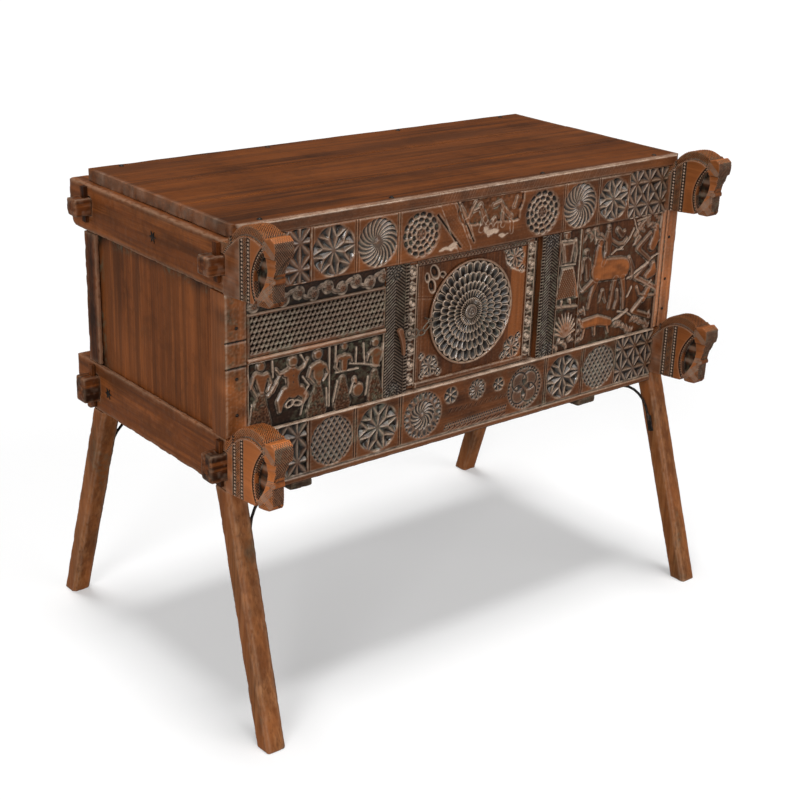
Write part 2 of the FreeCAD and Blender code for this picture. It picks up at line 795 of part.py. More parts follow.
def build():
    parts = {}
    lid_places = lid_nail_places()
    lid_holes = [placed(nail_hole(), p, Z_AXIS) for p in lid_places]
    side_places = side_nail_places(-1)
    side_holes = [placed(nail_hole(), p, -X_AXIS) for p in side_places]
    post_places = post_nail_places(-1)
    post_holes = [placed(nail_hole(small_nail_scale), p, -Y_AXIS) for p in post_places]

    long_rails = {
        "front_rail_top": (front_y, opening_top, top_rail_height, top_tenon_height),
        "front_rail_bottom": (front_y, bottom_rail_bottom, bottom_rail_height, bottom_tenon_height),
        "back_rail_top": (back_y - long_rail_thickness, opening_top, top_rail_height, top_tenon_height),
        "back_rail_bottom": (back_y - long_rail_thickness, bottom_rail_bottom, bottom_rail_height,
                             bottom_tenon_height),
    }
    front_grooves = [tongue_box(-inner_x, -door_half, groove_gap), tongue_box(door_half, inner_x, groove_gap)]
    back_span = (-inner_x - panel_tongue, inner_x + panel_tongue, back_y - back_board_setback - back_board_thickness,
                 back_y - back_board_setback, opening_bottom - board_tongue, opening_top + board_tongue)
    back_groove = grown(*back_span, groove_gap)
    wedges = []
    mortises = {"top": [], "bottom": []}
    for name, (y0, bottom, height, tenon_height) in long_rails.items():
        cutters = front_grooves + pivot_holes() if name.startswith("front") else [back_groove]
        parts[name] = long_rail(y0, bottom, height, tenon_height, cutters)
        key = wedge(y0, bottom, height, tenon_height)
        wedges += [key, mirrored_x(key)]
        hole = mirrored_x(tenon_end(y0, bottom, height, tenon_height, groove_gap))
        mortises["top" if name.endswith("top") else "bottom"].append(hole)
    parts["tenon_wedges"] = group(wedges)

    panel_x = -(side_x - panel_setback)
    panel_span = (panel_x, panel_x + panel_thickness, post_back - panel_tongue, panel_tongue - post_back,
                  opening_bottom - panel_tongue, upper_rail_bottom + panel_tongue)
    panel = box(*panel_span)
    panel_groove = grown(*panel_span, groove_gap)
    upper_cuts = mortises["top"] + [panel_groove, back_groove] + side_holes
    upper = side_rail(upper_rail_bottom, upper_side_rail_height, upper_cuts)
    upper_short = side_rail(upper_rail_bottom, upper_side_rail_height, upper_cuts, short_head_reach)
    leg_mortise = leg_tenon(groove_gap)
    leg_mortises = [leg_mortise, mirrored_y(leg_mortise)]
    lower = side_rail(lower_rail_bottom, lower_side_rail_height,
                      mortises["bottom"] + [panel_groove, back_groove] + leg_mortises + side_holes, with_nub=True)
    parts["side_rail_upper_left"] = upper
    parts["side_rail_upper_right"] = mirrored_x(upper_short)
    parts["side_rail_lower_left"] = lower
    parts["side_rail_lower_right"] = mirrored_x(lower)
    parts["end_panel_left"] = panel
    parts["end_panel_right"] = mirrored_x(panel)

    post = box(-side_x, -inner_x, board_front, post_back, opening_bottom, upper_rail_bottom)
    front_post = post.cut([panel_groove] + post_holes)
    back_post = mirrored_y(post).cut([panel_groove, back_groove])
    parts["post_front_left"] = front_post
    parts["post_front_right"] = mirrored_x(front_post)
    parts["post_back_left"] = back_post
    parts["post_back_right"] = mirrored_x(back_post)

    board_height = (back_span[5] - back_span[4] - (back_board_count - 1) * floor_board_gap) / back_board_count
    for number in range(back_board_count):
        z0 = back_span[4] + number * (board_height + floor_board_gap)
        parts[f"back_board_{number + 1}"] = box(*back_span[:4], z0, z0 + board_height)

    lattice_bottom = opening_top - lattice_board_height
    divider_bottom = lattice_bottom - divider_height
    parts["lattice_board"] = front_board(-inner_x, -panel_inner_x, lattice_bottom, opening_top)
    parts["figure_board"] = front_board(-inner_x, -panel_inner_x, opening_bottom, divider_bottom)
    parts["panel_divider"] = box(-inner_x, -panel_inner_x, board_front - divider_proud, board_back,
                                 divider_bottom, lattice_bottom)
    niche_end = panel_inner_x + niche_board_width
    parts["niche_board"] = front_board(panel_inner_x, niche_end, opening_bottom, opening_top)
    parts["rider_board"] = front_board(niche_end, inner_x, opening_bottom, opening_top)
    parts["stile_left"] = mirrored_x(stile(True)).cut(staple_hole(stile_staple_x, stile_staple_z, board_front))
    parts["stile_staple"] = stile_staple()
    parts["stile_pull"] = stile_pull()
    parts["stile_right"] = stile(False)

    hinge_start = door_half - door_side_gap - hinge_stile_width
    parts["door_board"] = box(leaf_left, hinge_start, door_face, door_back, leaf_bottom, leaf_top).cut(
        staple_hole(staple_x, staple_z, door_face))
    parts["door_hinge_stile"] = door_hinge_stile()
    parts["door_strip_left"] = door_strip(leaf_left + bead_strip_inset)
    parts["door_strip_right"] = door_strip(door_half - door_side_gap - right_strip_inset - bead_strip_width)
    parts["door_top_band"] = door_band(leaf_top - door_band_height, leaf_top, door_band_thickness)
    parts["door_ledge"] = door_band(leaf_bottom, leaf_bottom + door_ledge_height, door_ledge_thickness)
    parts["door_rosette"] = rosette()
    parts["door_staple"] = door_staple()
    parts["chain_link"] = chain_link()
    parts["hasp"] = hasp()

    for number, plank in enumerate(lid_planks()):
        parts[f"lid_plank_{number + 1}"] = plank.cut(lid_holes)
    parts["lid_batten_left"] = lid_batten(-1)
    parts["lid_batten_right"] = lid_batten(1)
    for number, board in enumerate(floor_boards()):
        parts[f"floor_board_{number + 1}"] = board
    parts["floor_bearer_left"] = floor_bearer(left_bearer_from_end - side_x)
    parts["floor_bearer_right"] = floor_bearer(side_x - right_bearer_from_end)

    one_leg = leg()
    one_brace = brace()
    for depth, turn_y in (("front", False), ("back", True)):
        for side, turn_x in (("left", False), ("right", True)):
            for name, shape in (("leg", one_leg), ("brace", one_brace)):
                piece = mirrored_y(shape) if turn_y else shape
                parts[f"{name}_{depth}_{side}"] = mirrored_x(piece) if turn_x else piece

    parts["lid_nails"] = group([placed(nail(), p, Z_AXIS) for p in lid_places])
    left_nails = [placed(nail(), p, -X_AXIS) for p in side_places]
    parts["side_rail_nails"] = group(left_nails + [mirrored_x(n) for n in left_nails])
    left_small = [placed(nail(small_nail_scale), p, -Y_AXIS) for p in post_places]
    parts["post_nails"] = group(left_small + [mirrored_x(n) for n in left_small])
    return parts


def main():
    os.makedirs("parts", exist_ok=True)
    for name, shape in build().items():
        shape.exportStep(f"parts/{name}.step")
        valid = "valid" if shape.isValid() else "NOT VALID"
        print(f"{name}: {len(shape.Solids)} solid(s), {valid}, volume {shape.Volume:.0f}")


main()
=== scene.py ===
import math

import bmesh
import bpy
import numpy as np
from bpy.props import FloatProperty, FloatVectorProperty
from mathutils import Matrix, Vector


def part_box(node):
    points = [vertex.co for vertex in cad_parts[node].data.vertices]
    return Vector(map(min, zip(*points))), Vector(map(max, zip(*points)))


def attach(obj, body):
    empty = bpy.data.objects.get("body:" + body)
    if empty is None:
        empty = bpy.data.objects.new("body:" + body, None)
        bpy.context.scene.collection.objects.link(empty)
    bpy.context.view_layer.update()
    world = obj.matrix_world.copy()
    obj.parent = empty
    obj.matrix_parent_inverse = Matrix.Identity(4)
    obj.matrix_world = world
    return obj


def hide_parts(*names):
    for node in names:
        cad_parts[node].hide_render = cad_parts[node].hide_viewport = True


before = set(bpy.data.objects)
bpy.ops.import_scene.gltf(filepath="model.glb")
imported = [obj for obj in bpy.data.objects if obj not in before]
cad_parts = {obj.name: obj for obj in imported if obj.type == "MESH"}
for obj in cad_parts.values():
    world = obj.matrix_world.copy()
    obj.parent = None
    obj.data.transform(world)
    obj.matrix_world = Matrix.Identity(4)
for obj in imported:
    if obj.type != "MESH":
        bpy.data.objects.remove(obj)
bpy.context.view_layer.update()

bl_info = {
    "name": "Carved trunk",
    "version": (1, 0, 0),
    "blender": (4, 5, 0),
    "location": "3D View > Sidebar > Trunk",
    "description": "Dresses the wooden trunk: carved faces, horse heads, worn boards, iron, a pale studio",
    "category": "Object",
}

MM = 0.001
CARCASS = "carcass"
DOOR = "door"
WHOLE = (slice(None), slice(None))


def low(node):
    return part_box(node)[0]


def high(node):
    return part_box(node)[1]


# Shares, noise and distances for the carving. Every carved face is worked out in millimetres.
def ease(t):
    """Smooth from nought to one."""
    t = np.clip(t, 0.0, 1.0)
    return t * t * (3.0 - 2.0 * t)


def hashed(ix, iy, iz, seed):
    """A fixed number from 0 to 1 for each whole place, the same in every run."""
    n = ix * 374761393 + iy * 668265263 + iz * 2147483647 + seed * 974634777
    n = (n ^ (n >> 13)) * 1274126177
    n = n ^ (n >> 16)
    return (n & 0xFFFF) / 65535.0


def grain_noise(x, y, z=None, seed=0):
    """Smooth random heights from 0 to 1, one unit between the random points."""
    z = np.zeros_like(x) if z is None else z
    ix, iy, iz = (np.floor(a).astype(np.int64) for a in (x, y, z))
    fx, fy, fz = (ease(a - b) for a, b in ((x, ix), (y, iy), (z, iz)))
    total = 0.0
    for dx in (0, 1):
        for dy in (0, 1):
            for dz in (0, 1):
                weight = (fx if dx else 1 - fx) * (fy if dy else 1 - fy) * (fz if dz else 1 - fz)
                total = total + weight * hashed(ix + dx, iy + dy, iz + dz, seed)
    return total


def noise_at(co, size, seed):
    """The same noise at points in metres. size is the distance between the random points."""
    x, y, z = (co / size).T
    return grain_noise(x, y, z, seed)


def zigzag(t):
    """One at each whole number, nought half way between two."""
    return np.abs((t % 1.0) * 2 - 1)


def crossing(a, b, pitch):
    """Two sets of slanting lines that cross: nought on a line, one between them."""
    return np.minimum(zigzag((a + b) / pitch), zigzag((a - b) / pitch))


def to_segment(u, v, a, b):
    """Distance to the line from a to b, and the share of the way along it."""
    dx, dz = b[0] - a[0], b[1] - a[1]
    t = np.clip(((u - a[0]) * dx + (v - a[1]) * dz) / (dx * dx + dz * dz + 1e-9), 0, 1)
    return np.hypot(u - a[0] - t * dx, v - a[1] - t * dz), t


def limb(u, v, points, radii):
    """Signed distance to a bent limb through the points, with a radius at each of them."""
    best = np.full(u.shape, 1e9)
    for a, b, ra, rb in zip(points, points[1:], radii, radii[1:]):
        distance, t = to_segment(u, v, a, b)
        best = np.minimum(best, distance - (ra + (rb - ra) * t))
    return best


def oval(u, v, cx, cz, rx, rz, turn=0.0):
    """Roughly the signed distance to an oval with half axes rx and rz."""
    c, s = math.cos(turn), math.sin(turn)
    x = (u - cx) * c + (v - cz) * s
    z = (v - cz) * c - (u - cx) * s
    return (np.hypot(x / rx, z / rz) - 1.0) * min(rx, rz)


def blurred(h, passes):
    """The heights after a number of small blurs."""
    for _ in range(passes):
        p = np.pad(h, 1, mode="edge")
        h = (p[1:-1, :-2] + 2 * p[1:-1, 1:-1] + p[1:-1, 2:]) / 4
        p = np.pad(h, 1, mode="edge")
        h = (p[:-2, 1:-1] + 2 * p[1:-1, 1:-1] + p[2:, 1:-1]) / 4
    return h


class Relief:
    """A carved face on a fine grid: u to the right, v up, h the height over the uncut face, in millimetres.

    Each point also has a share of polish (rubbed wax), of pale wood (worn bare, and partly painted highlight)
    and of dust.
    grime darkens the whole face, and pale is the strength of the painted highlights on its ridges.
    """

    def __init__(self, u0, u1, v0, v1, step):
        self.u0, self.u1, self.v0, self.v1, self.step = u0, u1, v0, v1, step
        nu = max(2, int(round((u1 - u0) / step)) + 1)
        nv = max(2, int(round((v1 - v0) / step)) + 1)
        self.u, self.v = np.meshgrid(np.linspace(u0, u1, nu), np.linspace(v0, v1, nv))
        self.h = np.zeros_like(self.u)
        self.polish = np.zeros_like(self.u)
        self.bare = np.zeros_like(self.u)
        self.dust = np.zeros_like(self.u)
        self.grime = 0.0
        self.pale = 1.0

    def window(self, u0, u1, v0, v1):
        """The part of the grid inside a rectangle, as a pair of slices for rows and columns."""
        us, vs = self.u[0], self.v[:, 0]
        i = slice(int(np.searchsorted(us, u0)), int(np.searchsorted(us, u1, "right")))
        j = slice(int(np.searchsorted(vs, v0)), int(np.searchsorted(vs, v1, "right")))
        return j, i

    def cut(self, depth, area=WHOLE):
        """Cuts down to -depth wherever that is lower than what is there."""
        self.h[area] = np.minimum(self.h[area], -depth)

    def groove(self, a, b, width, depth):
        """A straight cut with a round bottom."""
        (u0, u1), (v0, v1) = sorted((a[0], b[0])), sorted((a[1], b[1]))
        pad = width + 1
        area = self.window(u0 - pad, u1 + pad, v0 - pad, v1 + pad)
        distance, _ = to_segment(self.u[area], self.v[area], a, b)
        self.cut(depth * np.clip(1.4 - 1.4 * distance / (width / 2), 0, 1), area)

    def roundel(self, cu, cv, radius, profile, rim=1.2, dust=0.8):
        """Cuts a round pattern; profile gives its depth from the share of the radius and the angle."""
        area = self.window(cu - radius - 3, cu + radius + 3, cv - radius - 3, cv + radius + 3)
        x, z = self.u[area] - cu, self.v[area] - cv
        r = np.hypot(x, z) / radius
        depth = profile(r, np.arctan2(z, x)) * ease((1.0 - r) * radius / rim)
        self.cut(np.where(r < 1, depth, 0), area)
        self.dust[area] = np.maximum(self.dust[area], dust * ease((1.0 - r) * radius / 2) * ease(depth / 0.8))

    def raised(self, distance, area, ground, edge=2.2, level=0.4, polish=0.0):
        """Leaves a figure standing on ground cut to that depth. distance is below zero inside the figure."""
        stand = ease(-distance / edge)
        self.h[area] = np.maximum(self.h[area], -ground + (ground - level) * stand)
        self.polish[area] = np.maximum(self.polish[area], polish * ease(-distance / (2 * edge)))
        # A pale, broken outline round the figure: partly worn wood, partly painted highlight
        broken = grain_noise(self.u[area] / 5, self.v[area] / 5, seed=5)
        self.paled(np.clip(1 - np.abs(distance) / 1.6, 0, 1) * broken, area)

    def paled(self, bare, area=WHOLE):
        """Makes the wood at least this pale: worn bare wood, partly painted highlight."""
        self.bare[area] = np.maximum(self.bare[area], bare)


# Chip-carved patterns: depth from the share of the radius r and the angle a
def petal_star(count, depth=4.6, turn=0.0):
    """Leaf-shaped hollows that end in points, with three-sided chips between the points."""
    def profile(r, a):
        sector = 2 * math.pi / count
        off = np.abs((a - turn + sector / 2) % sector - sector / 2) / (sector / 2)
        half = np.minimum(0.96, 0.96 * 0.52 / 0.48 * np.clip(1 - r, 0, 1) / np.maximum(r, 0.05)) + 0.015
        full = np.clip(0.3 + 1.3 * np.minimum(r, 1.25 * (1.06 - r)), 0, 1)
        leaf = depth * np.clip(1 - off / half, 0, 1) * full
        beyond = np.clip((off - half) / (1.001 - half), 0, 1)
        chips = depth * beyond * ease((r - 0.5) / 0.2) * ease((1.02 - r) / 0.12)
        return np.where(off < half, leaf, chips)
    return profile


def swirl(count, depth=4.2, twist=1.15, sharp=0.72):
    """Curved blades, steep on one side, that turn about the middle."""
    def profile(r, a):
        phase = (a * count / (2 * math.pi) + twist * r ** 1.3 * count / 9) % 1.0
        blade = np.where(phase < sharp, phase / sharp, (1 - phase) / (1 - sharp))
        return depth * (0.05 + 0.95 * blade) * ease(r / 0.22)
    return profile


def pierced(depth=5.0):
    """A lace of small rounded leaves in rings, each with a hollow in it, and dark gaps between them."""
    def profile(r, a):
        out = np.full(r.shape, depth * 0.15)
        for ring, count, turn in ((0.84, 15, 0.0), (0.60, 12, 0.5), (0.38, 8, 0.0)):
            phase = ((a * count / (2 * math.pi) + turn) % 1.0 - 0.5) * 2
            t = (r - ring) / 0.115
            cup = np.clip(1.06 - np.hypot(t, phase * 0.96), 0, 1)
            out = np.maximum(out, depth * (0.15 + 0.75 * ease(cup * 1.8)))
        return np.where(r < 0.22, depth * (0.3 + 0.3 * np.abs(np.sin(3 * a)) * ease(r / 0.1)), out)
    return profile


def diamond_net(depth=4.4, pitch=12.0, radius=45.0):
    """A net of four-sided hollows that meet in sharp ridges."""
    def profile(r, a):
        x, z = r * np.cos(a) * radius / pitch, r * np.sin(a) * radius / pitch
        return depth * np.clip(1.05 - np.maximum(zigzag(x + z * 0.7), zigzag(x - z * 0.7)), 0.08, 1)
    return profile


def crossed_petals(depth=3.8):
    """Four rounded petals that cross, inside a ring of dots."""
    def profile(r, a):
        x, z = r * np.cos(a), r * np.sin(a)
        edge = np.full(r.shape, 1e3)
        for k in range(4):
            turn = math.pi / 4 + k * math.pi / 2
            ring = np.abs(np.hypot(x - 0.42 * math.cos(turn), z - 0.42 * math.sin(turn)) - 0.42)
            edge = np.minimum(edge, ring)
        line = depth * 0.55 * np.clip(1 - edge / 0.05, 0, 1)
        core = depth * 0.7 * ease((np.abs(np.cos(2 * a)) - 0.5) / 0.4)
        core = core * ease((0.42 - r) / 0.1) * ease(r / 0.1)
        dots = depth * 0.7 * np.clip(1.3 - np.hypot((r - 0.92) / 0.06, np.sin(a * 17) * 1.2), 0, 1)
        return np.maximum(np.maximum(line, core), dots) + 0.6
    return profile


def small_flower(count=8, depth=3.2):
    def profile(r, a):
        leaf = np.abs(np.cos(a * count / 2))
        return depth * ease((leaf - 0.2) / 0.5) * ease((r - 0.1) / 0.15) * ease((1 - r) / 0.2)
    return profile


def pit(depth):
    """A small hole like a cone."""
    return lambda r, a: depth * (1 - r)


def ringed_swirl(depth=4.0):
    """A small swirl inside a ring of leaf-shaped chips."""
    inner, outer = swirl(14, depth), petal_star(18, depth * 0.75)

    def profile(r, a):
        ring = 1.6 * np.clip(1 - np.abs(r - 0.66) / 0.035, 0, 1)
        chips = outer(np.clip((r - 0.7) / 0.3, 0, 1) * 0.6 + 0.2, a) * (r > 0.7)
        return np.maximum(np.maximum(inner(r / 0.62, a) * (r < 0.62), ring), chips)
    return profile


def star_cells(face, u0, u1, v0, v1, columns, rows, depth=5.2):
    """Squares of eight facets each: four ridges cross in the middle and the hollows lie between them."""
    area = face.window(u0, u1, v0, v1)
    x = (face.u[area] - u0) / (u1 - u0) * columns
    z = (face.v[area] - v0) / (v1 - v0) * rows
    a, b = (x % 1.0) * 2 - 1, (z % 1.0) * 2 - 1
    share = (np.arctan2(b, a) / (math.pi / 4)) % 1.0
    reach = np.maximum(np.abs(a), np.abs(b))
    hollow = 1 - np.abs(share * 2 - 1)
    face.cut(depth * np.clip(hollow * reach * 1.25, 0, 1), area)
    face.dust[area] = 0.5
    for k in range(columns + 1):
        x0 = u0 + (u1 - u0) * k / columns
        face.groove((x0, v0), (x0, v1), 1.6, 1.4)
    for k in range(rows + 1):
        z0 = v0 + (v1 - v0) * k / rows
        face.groove((u0, z0), (u1, z0), 1.6, 1.4)


def stipple(face, area, ground, size=3.2, amount=1.5, seed=3):
    """Ground cut down and pecked with a small gouge."""
    bumps = grain_noise(face.u[area] / size, face.v[area] / size, seed=seed)
    face.h[area] = np.minimum(face.h[area], -ground + amount * (bumps - 0.5))


def finished_height(face, wear=0.35, soften=1, edge=2.0):
    """Softens the cuts, waves the surface a little and rounds the outer edges."""
    h = blurred(face.h, soften)
    h = h - wear * grain_noise(face.u / 31, face.v / 23, seed=11)
    h = h - wear * 0.8 * grain_noise(face.u / 4.1, face.v / 3.3, seed=12)
    rim = np.minimum.reduce([face.u - face.u0, face.u1 - face.u, face.v - face.v0, face.v1 - face.v])
    nick = 0.6 + 0.8 * grain_noise(face.u / 14, face.v / 14, seed=13)
    return h - edge * nick * np.clip(1 - rim / (1.6 * edge), 0, 1) ** 2


# Meshes
def mesh_object(name, verts, faces, tones=None, smooth=True):
    mesh = bpy.data.meshes.new(name)
    mesh.from_pydata(verts, [], faces)
    mesh.update()
    piece = bpy.data.objects.new(name, mesh)
    bpy.context.scene.collection.objects.link(piece)
    for key, values in (tones or {}).items():
        set_tone(piece, key, values)
    if smooth:
        mesh.polygons.foreach_set("use_smooth", np.ones(len(mesh.polygons), bool))
    return piece


def carved_slab(name, face, h, front_y, back_y, depth=5.0):
    """A closed board whose front, towards -Y, carries the heights h. Front and back in metres."""
    nv, nu = h.shape
    x, z = face.u * MM, face.v * MM
    y = front_y - h * MM
    front = np.stack([x, y, z], -1).reshape(-1, 3)
    index = np.arange(nu * nv).reshape(nv, nu)
    quads = np.stack([index[:-1, :-1], index[:-1, 1:], index[1:, 1:], index[1:, :-1]], -1).reshape(-1, 4)
    ring = np.concatenate([index[0, :], index[1:, -1], index[-1, -2::-1], index[-2:0:-1, 0]])
    back = front[ring].copy()
    back[:, 1] = back_y
    start = len(front)
    count = len(ring)
    here = np.arange(count)
    after = (here + 1) % count
    sides = np.stack([ring[after], ring[here], start + here, start + after], -1)
    faces = quads.tolist() + sides.tolist() + [list(range(start + count - 1, start - 1, -1))]
    # Painted shade where a point lies under its surroundings, plus the face's grime; painted highlight on
    # ridges
    smooth_h = blurred(h, 6)
    broad_h = blurred(smooth_h, 46)
    cavity = 0.19 * np.clip(-smooth_h / depth, 0, 1) + 0.22 * np.clip((broad_h - h) / 2.6, 0, 1)
    cavity = np.clip(face.grime + cavity + 0.62 * np.clip((smooth_h - h) / 1.3, 0, 1), 0, 1)
    slope_v = np.gradient(h, axis=0) / (face.v[1, 0] - face.v[0, 0])
    slope_u = np.gradient(h, axis=1) / (face.u[0, 1] - face.u[0, 0])
    # The ridges' painted highlight is strongest on the sides that face the lamps, up and to the left, and on
    # facets turned up
    facing_lamps = ease(0.55 + 0.9 * (slope_u - slope_v))
    ridge = np.clip((h - smooth_h) / 0.9, 0, 1) * (0.25 + 0.95 * facing_lamps)
    ridge = np.clip(ridge + 0.7 * np.clip(-slope_v - 0.35, 0, 0.8) * (cavity < 0.75), 0, 1)
    # Painted shade on facets turned down or to the right, away from the lamps
    shade_facing_down, shade_facing_right = np.clip(slope_v - 0.3, 0, 0.8), np.clip(-slope_u - 0.3, 0, 0.8)
    cavity = np.clip(cavity + 0.42 * shade_facing_down + 0.25 * shade_facing_right, 0, 1)
    ridge *= face.pale
    tail = np.zeros(count)
    flat_shade_and_grime = cavity.ravel()
    flat_shade_and_grime[ring] *= 0.2
    tones = {"cavity": np.concatenate([flat_shade_and_grime, tail + 0.05]),
             "ridge": np.concatenate([ridge.ravel(), tail]),
             "polish": np.concatenate([face.polish.ravel(), tail + 0.3]),
             "bare": np.concatenate([face.bare.ravel(), tail]),
             "dust": np.concatenate([face.dust.ravel(), tail])}
    piece = mesh_object(name, np.concatenate([front, back]).tolist(), faces, tones)
    flat = np.ones(len(piece.data.polygons), bool)
    flat[len(quads):] = False
    piece.data.polygons.foreach_set("use_smooth", flat)
    return piece


def rounded_board(name, lo, hi, radius, step, wobble, seed, nicks=0.0):
    """A board with worn, rounded arrises: a subdivided box pulled in round an inner box. All in metres."""
    lo, hi = np.array(lo, float), np.array(hi, float)
    stations = []
    for a, b in zip(lo, hi):
        r = min(radius, (b - a) / 2.001)
        inner = np.linspace(a + r, b - r, max(2, int((b - a) / step) + 1))
        near = a + r * (1 - np.cos(np.linspace(0, math.pi / 2, 4)))[:-1]
        far = b - r * (1 - np.cos(np.linspace(0, math.pi / 2, 4)))[:-1][::-1]
        stations.append(np.concatenate([near, inner, far]))
    index = {}
    verts, faces = [], []

    def vertex(i, j, k):
        key = (i, j, k)
        if key not in index:
            index[key] = len(verts)
            verts.append((stations[0][i], stations[1][j], stations[2][k]))
        return index[key]

    last = [len(s) - 1 for s in stations]
    for axis in range(3):
        b, c = (axis + 1) % 3, (axis + 2) % 3
        for end in (0, last[axis]):
            for m in range(last[b]):
                for n in range(last[c]):
                    corners = []
                    for dm, dn in ((0, 0), (1, 0), (1, 1), (0, 1)):
                        key = [0, 0, 0]
                        key[axis], key[b], key[c] = end, m + dm, n + dn
                        corners.append(vertex(*key))
                    faces.append(corners if end else corners[::-1])
    p = np.array(verts)
    core = np.clip(p, lo + radius, hi - radius)
    away = p - core
    size = np.linalg.norm(away, axis=1, keepdims=True)
    p = core + away / np.maximum(size, 1e-9) * radius
    shift = np.stack([noise_at(p, 0.05, seed + k) - 0.5 for k in range(3)], -1)
    p = p + wobble * 2 * shift * (p != (lo + hi) / 2)
    if nicks:
        bite = np.clip(noise_at(p, 0.011, seed + 9) - 0.62, 0, 1) / 0.38
        edge = np.clip((np.sort(np.abs(away) / radius, axis=1)[:, 1] - 0.15) * 2, 0, 1)
        p = p - (away / np.maximum(size, 1e-9)) * (nicks * bite * edge)[:, None]
    p = np.clip(p, lo, hi)
    return mesh_object(name, p.tolist(), faces)


def cad_mesh(node):
    """A loose copy of a node's mesh as a bmesh."""
    bm = bmesh.new()
    bm.from_mesh(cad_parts[node].data)
    bmesh.ops.remove_doubles(bm, verts=bm.verts, dist=1e-6)
    return bm


def remeshed(name, bm, voxel):
    """A dense, even skin over the bmesh, as a new object."""
    rough = bpy.data.meshes.new(name + "_rough")
    bm.to_mesh(rough)
    bm.free()
    carrier = bpy.data.objects.new(name + "_rough", rough)
    bpy.context.scene.collection.objects.link(carrier)
    skin = carrier.modifiers.new("skin", "REMESH")
    skin.mode = "VOXEL"
    skin.voxel_size = voxel
    bpy.context.view_layer.update()
    dense = bpy.data.meshes.new_from_object(carrier.evaluated_get(bpy.context.evaluated_depsgraph_get()))
    bpy.data.objects.remove(carrier)
    bpy.data.meshes.remove(rough)
    dense.name = name
    piece = bpy.data.objects.new(name, dense)
    bpy.context.scene.collection.objects.link(piece)
    dense.polygons.foreach_set("use_smooth", np.ones(len(dense.polygons), bool))
    return piece


def outward(piece):
    """Turns all the faces of a closed piece outwards."""
    bm = bmesh.new()
    bm.from_mesh(piece.data)
    bmesh.ops.recalc_face_normals(bm, faces=bm.faces)
    bm.to_mesh(piece.data)
    bm.free()


def points_of(piece, key="co"):
    values = np.zeros(len(piece.data.vertices) * 3)
    piece.data.vertices.foreach_get(key, values)
    return values.reshape(-1, 3)


def set_points(piece, co):
    piece.data.vertices.foreach_set("co", np.asarray(co, np.float32).ravel())
    piece.data.update()


def normals_of(piece):
    return points_of(piece, "normal")


def set_tone(piece, key, values):
    """Writes one number, or one per vertex, that the finish reads: the painted shade and grime, the light
    ridges (wear and painted highlight), the polish, the pale wear and highlight, or the dust.
    """
    mesh = piece.data
    layer = mesh.attributes.get(key) or mesh.attributes.new(key, "FLOAT", "POINT")
    layer.data.foreach_set("value", np.full(len(mesh.vertices), values, np.float32))


# Materials
class Wire:
    """One output of a node, on which maths is written as Python expressions."""

    def __init__(self, nodes, socket):
        self.nodes, self.socket = nodes, socket

    def maths(self, operation, *values):
        return self.nodes.node("Math", {"operation": operation}, dict(enumerate(values)))

    def __add__(self, other):
        return self.maths("ADD", self, other)

    def __radd__(self, other):
        return self.maths("ADD", other, self)

    def __sub__(self, other):
        return self.maths("SUBTRACT", self, other)

    def __rsub__(self, other):
        return self.maths("SUBTRACT", other, self)

    def __mul__(self, other):
        return self.maths("MULTIPLY", self, other)

    def __rmul__(self, other):
        return self.maths("MULTIPLY", other, self)

    def clamped(self):
        return self.nodes.node("Clamp", {}, {"Value": self})

    def between(self, start, end):
        """Nought up to start, one from end, and smooth between them."""
        settings = {"interpolation_type": "SMOOTHSTEP"}
        return self.nodes.node("MapRange", settings, {"Value": self, "From Min": start, "From Max": end})


class Nodes:
    """A tree of shader nodes being built."""

    def __init__(self, tree):
        self.tree = tree

    def node(self, kind, settings, values, output=0):
        made = self.tree.nodes.new("ShaderNode" + kind)
        for key, value in settings.items():
            setattr(made, key, value)
        for key, value in values.items():
            self.feed(made.inputs[key], value)
        return Wire(self, made.outputs[output])

    def feed(self, socket, value):
        if isinstance(value, Wire):
            self.tree.links.new(value.socket, socket)
        else:
            socket.default_value = value

    def backdrop_seen(self):
        """One where the camera or a glass looks, a little where a mirror does, and nought for other light."""
        camera, clear, glossy = (self.node("LightPath", {}, {}, f"Is {ray} Ray")
                                 for ray in ("Camera", "Transmission", "Glossy"))
        return camera.maths("MAXIMUM", camera.maths("MAXIMUM", camera, clear), glossy * MIRRORED)


class Finish(Nodes):
    """A material being made."""

    def __init__(self, name):
        self.material = bpy.data.materials.new(name)
        self.material.use_nodes = True
        super().__init__(self.material.node_tree)
        self.shader = self.tree.nodes["Principled BSDF"]

    def set(self, **values):
        for key, value in values.items():
            self.feed(self.shader.inputs[key.replace("_", " ")], value)

    def tone(self, key):
        return self.node("Attribute", {"attribute_name": key}, {}, "Fac")

    def place(self, stretch=(1, 1, 1)):
        """The object's own coordinates in metres, stretched for the grain."""
        here = self.node("TexCoord", {}, {}, "Object")
        return self.node("Mapping", {}, {"Vector": here, "Scale": stretch})

    def noise(self, place, scale, detail, rough, distortion=0.0):
        return self.node("TexNoise", {}, {"Vector": place, "Scale": scale, "Detail": detail,
                                          "Roughness": rough, "Distortion": distortion})

    def bump(self, strength, distance, height):
        return self.node("Bump", {}, {"Strength": strength, "Distance": distance, "Height": height})

    def mixed(self, factor, a, b):
        return self.node("Mix", {"data_type": "RGBA"}, {0: factor, 6: a, 7: b}, 2)

    def backdrop_glow(self, share, shown, bounced):
        """A floor that looks white to the camera, a mirror or a glass, and throws less light back."""
        seen = self.backdrop_seen()
        self.set(Base_Color=self.mixed(seen, bounced, shown))
        glow = self.node("Emission", {}, {"Color": WHITE, "Strength": 1.0})
        both = self.node("MixShader", {}, {0: seen * share, 1: Wire(self, self.shader.outputs[0]), 2: glow})
        self.feed(self.tree.nodes["Material Output"].inputs["Surface"], both)


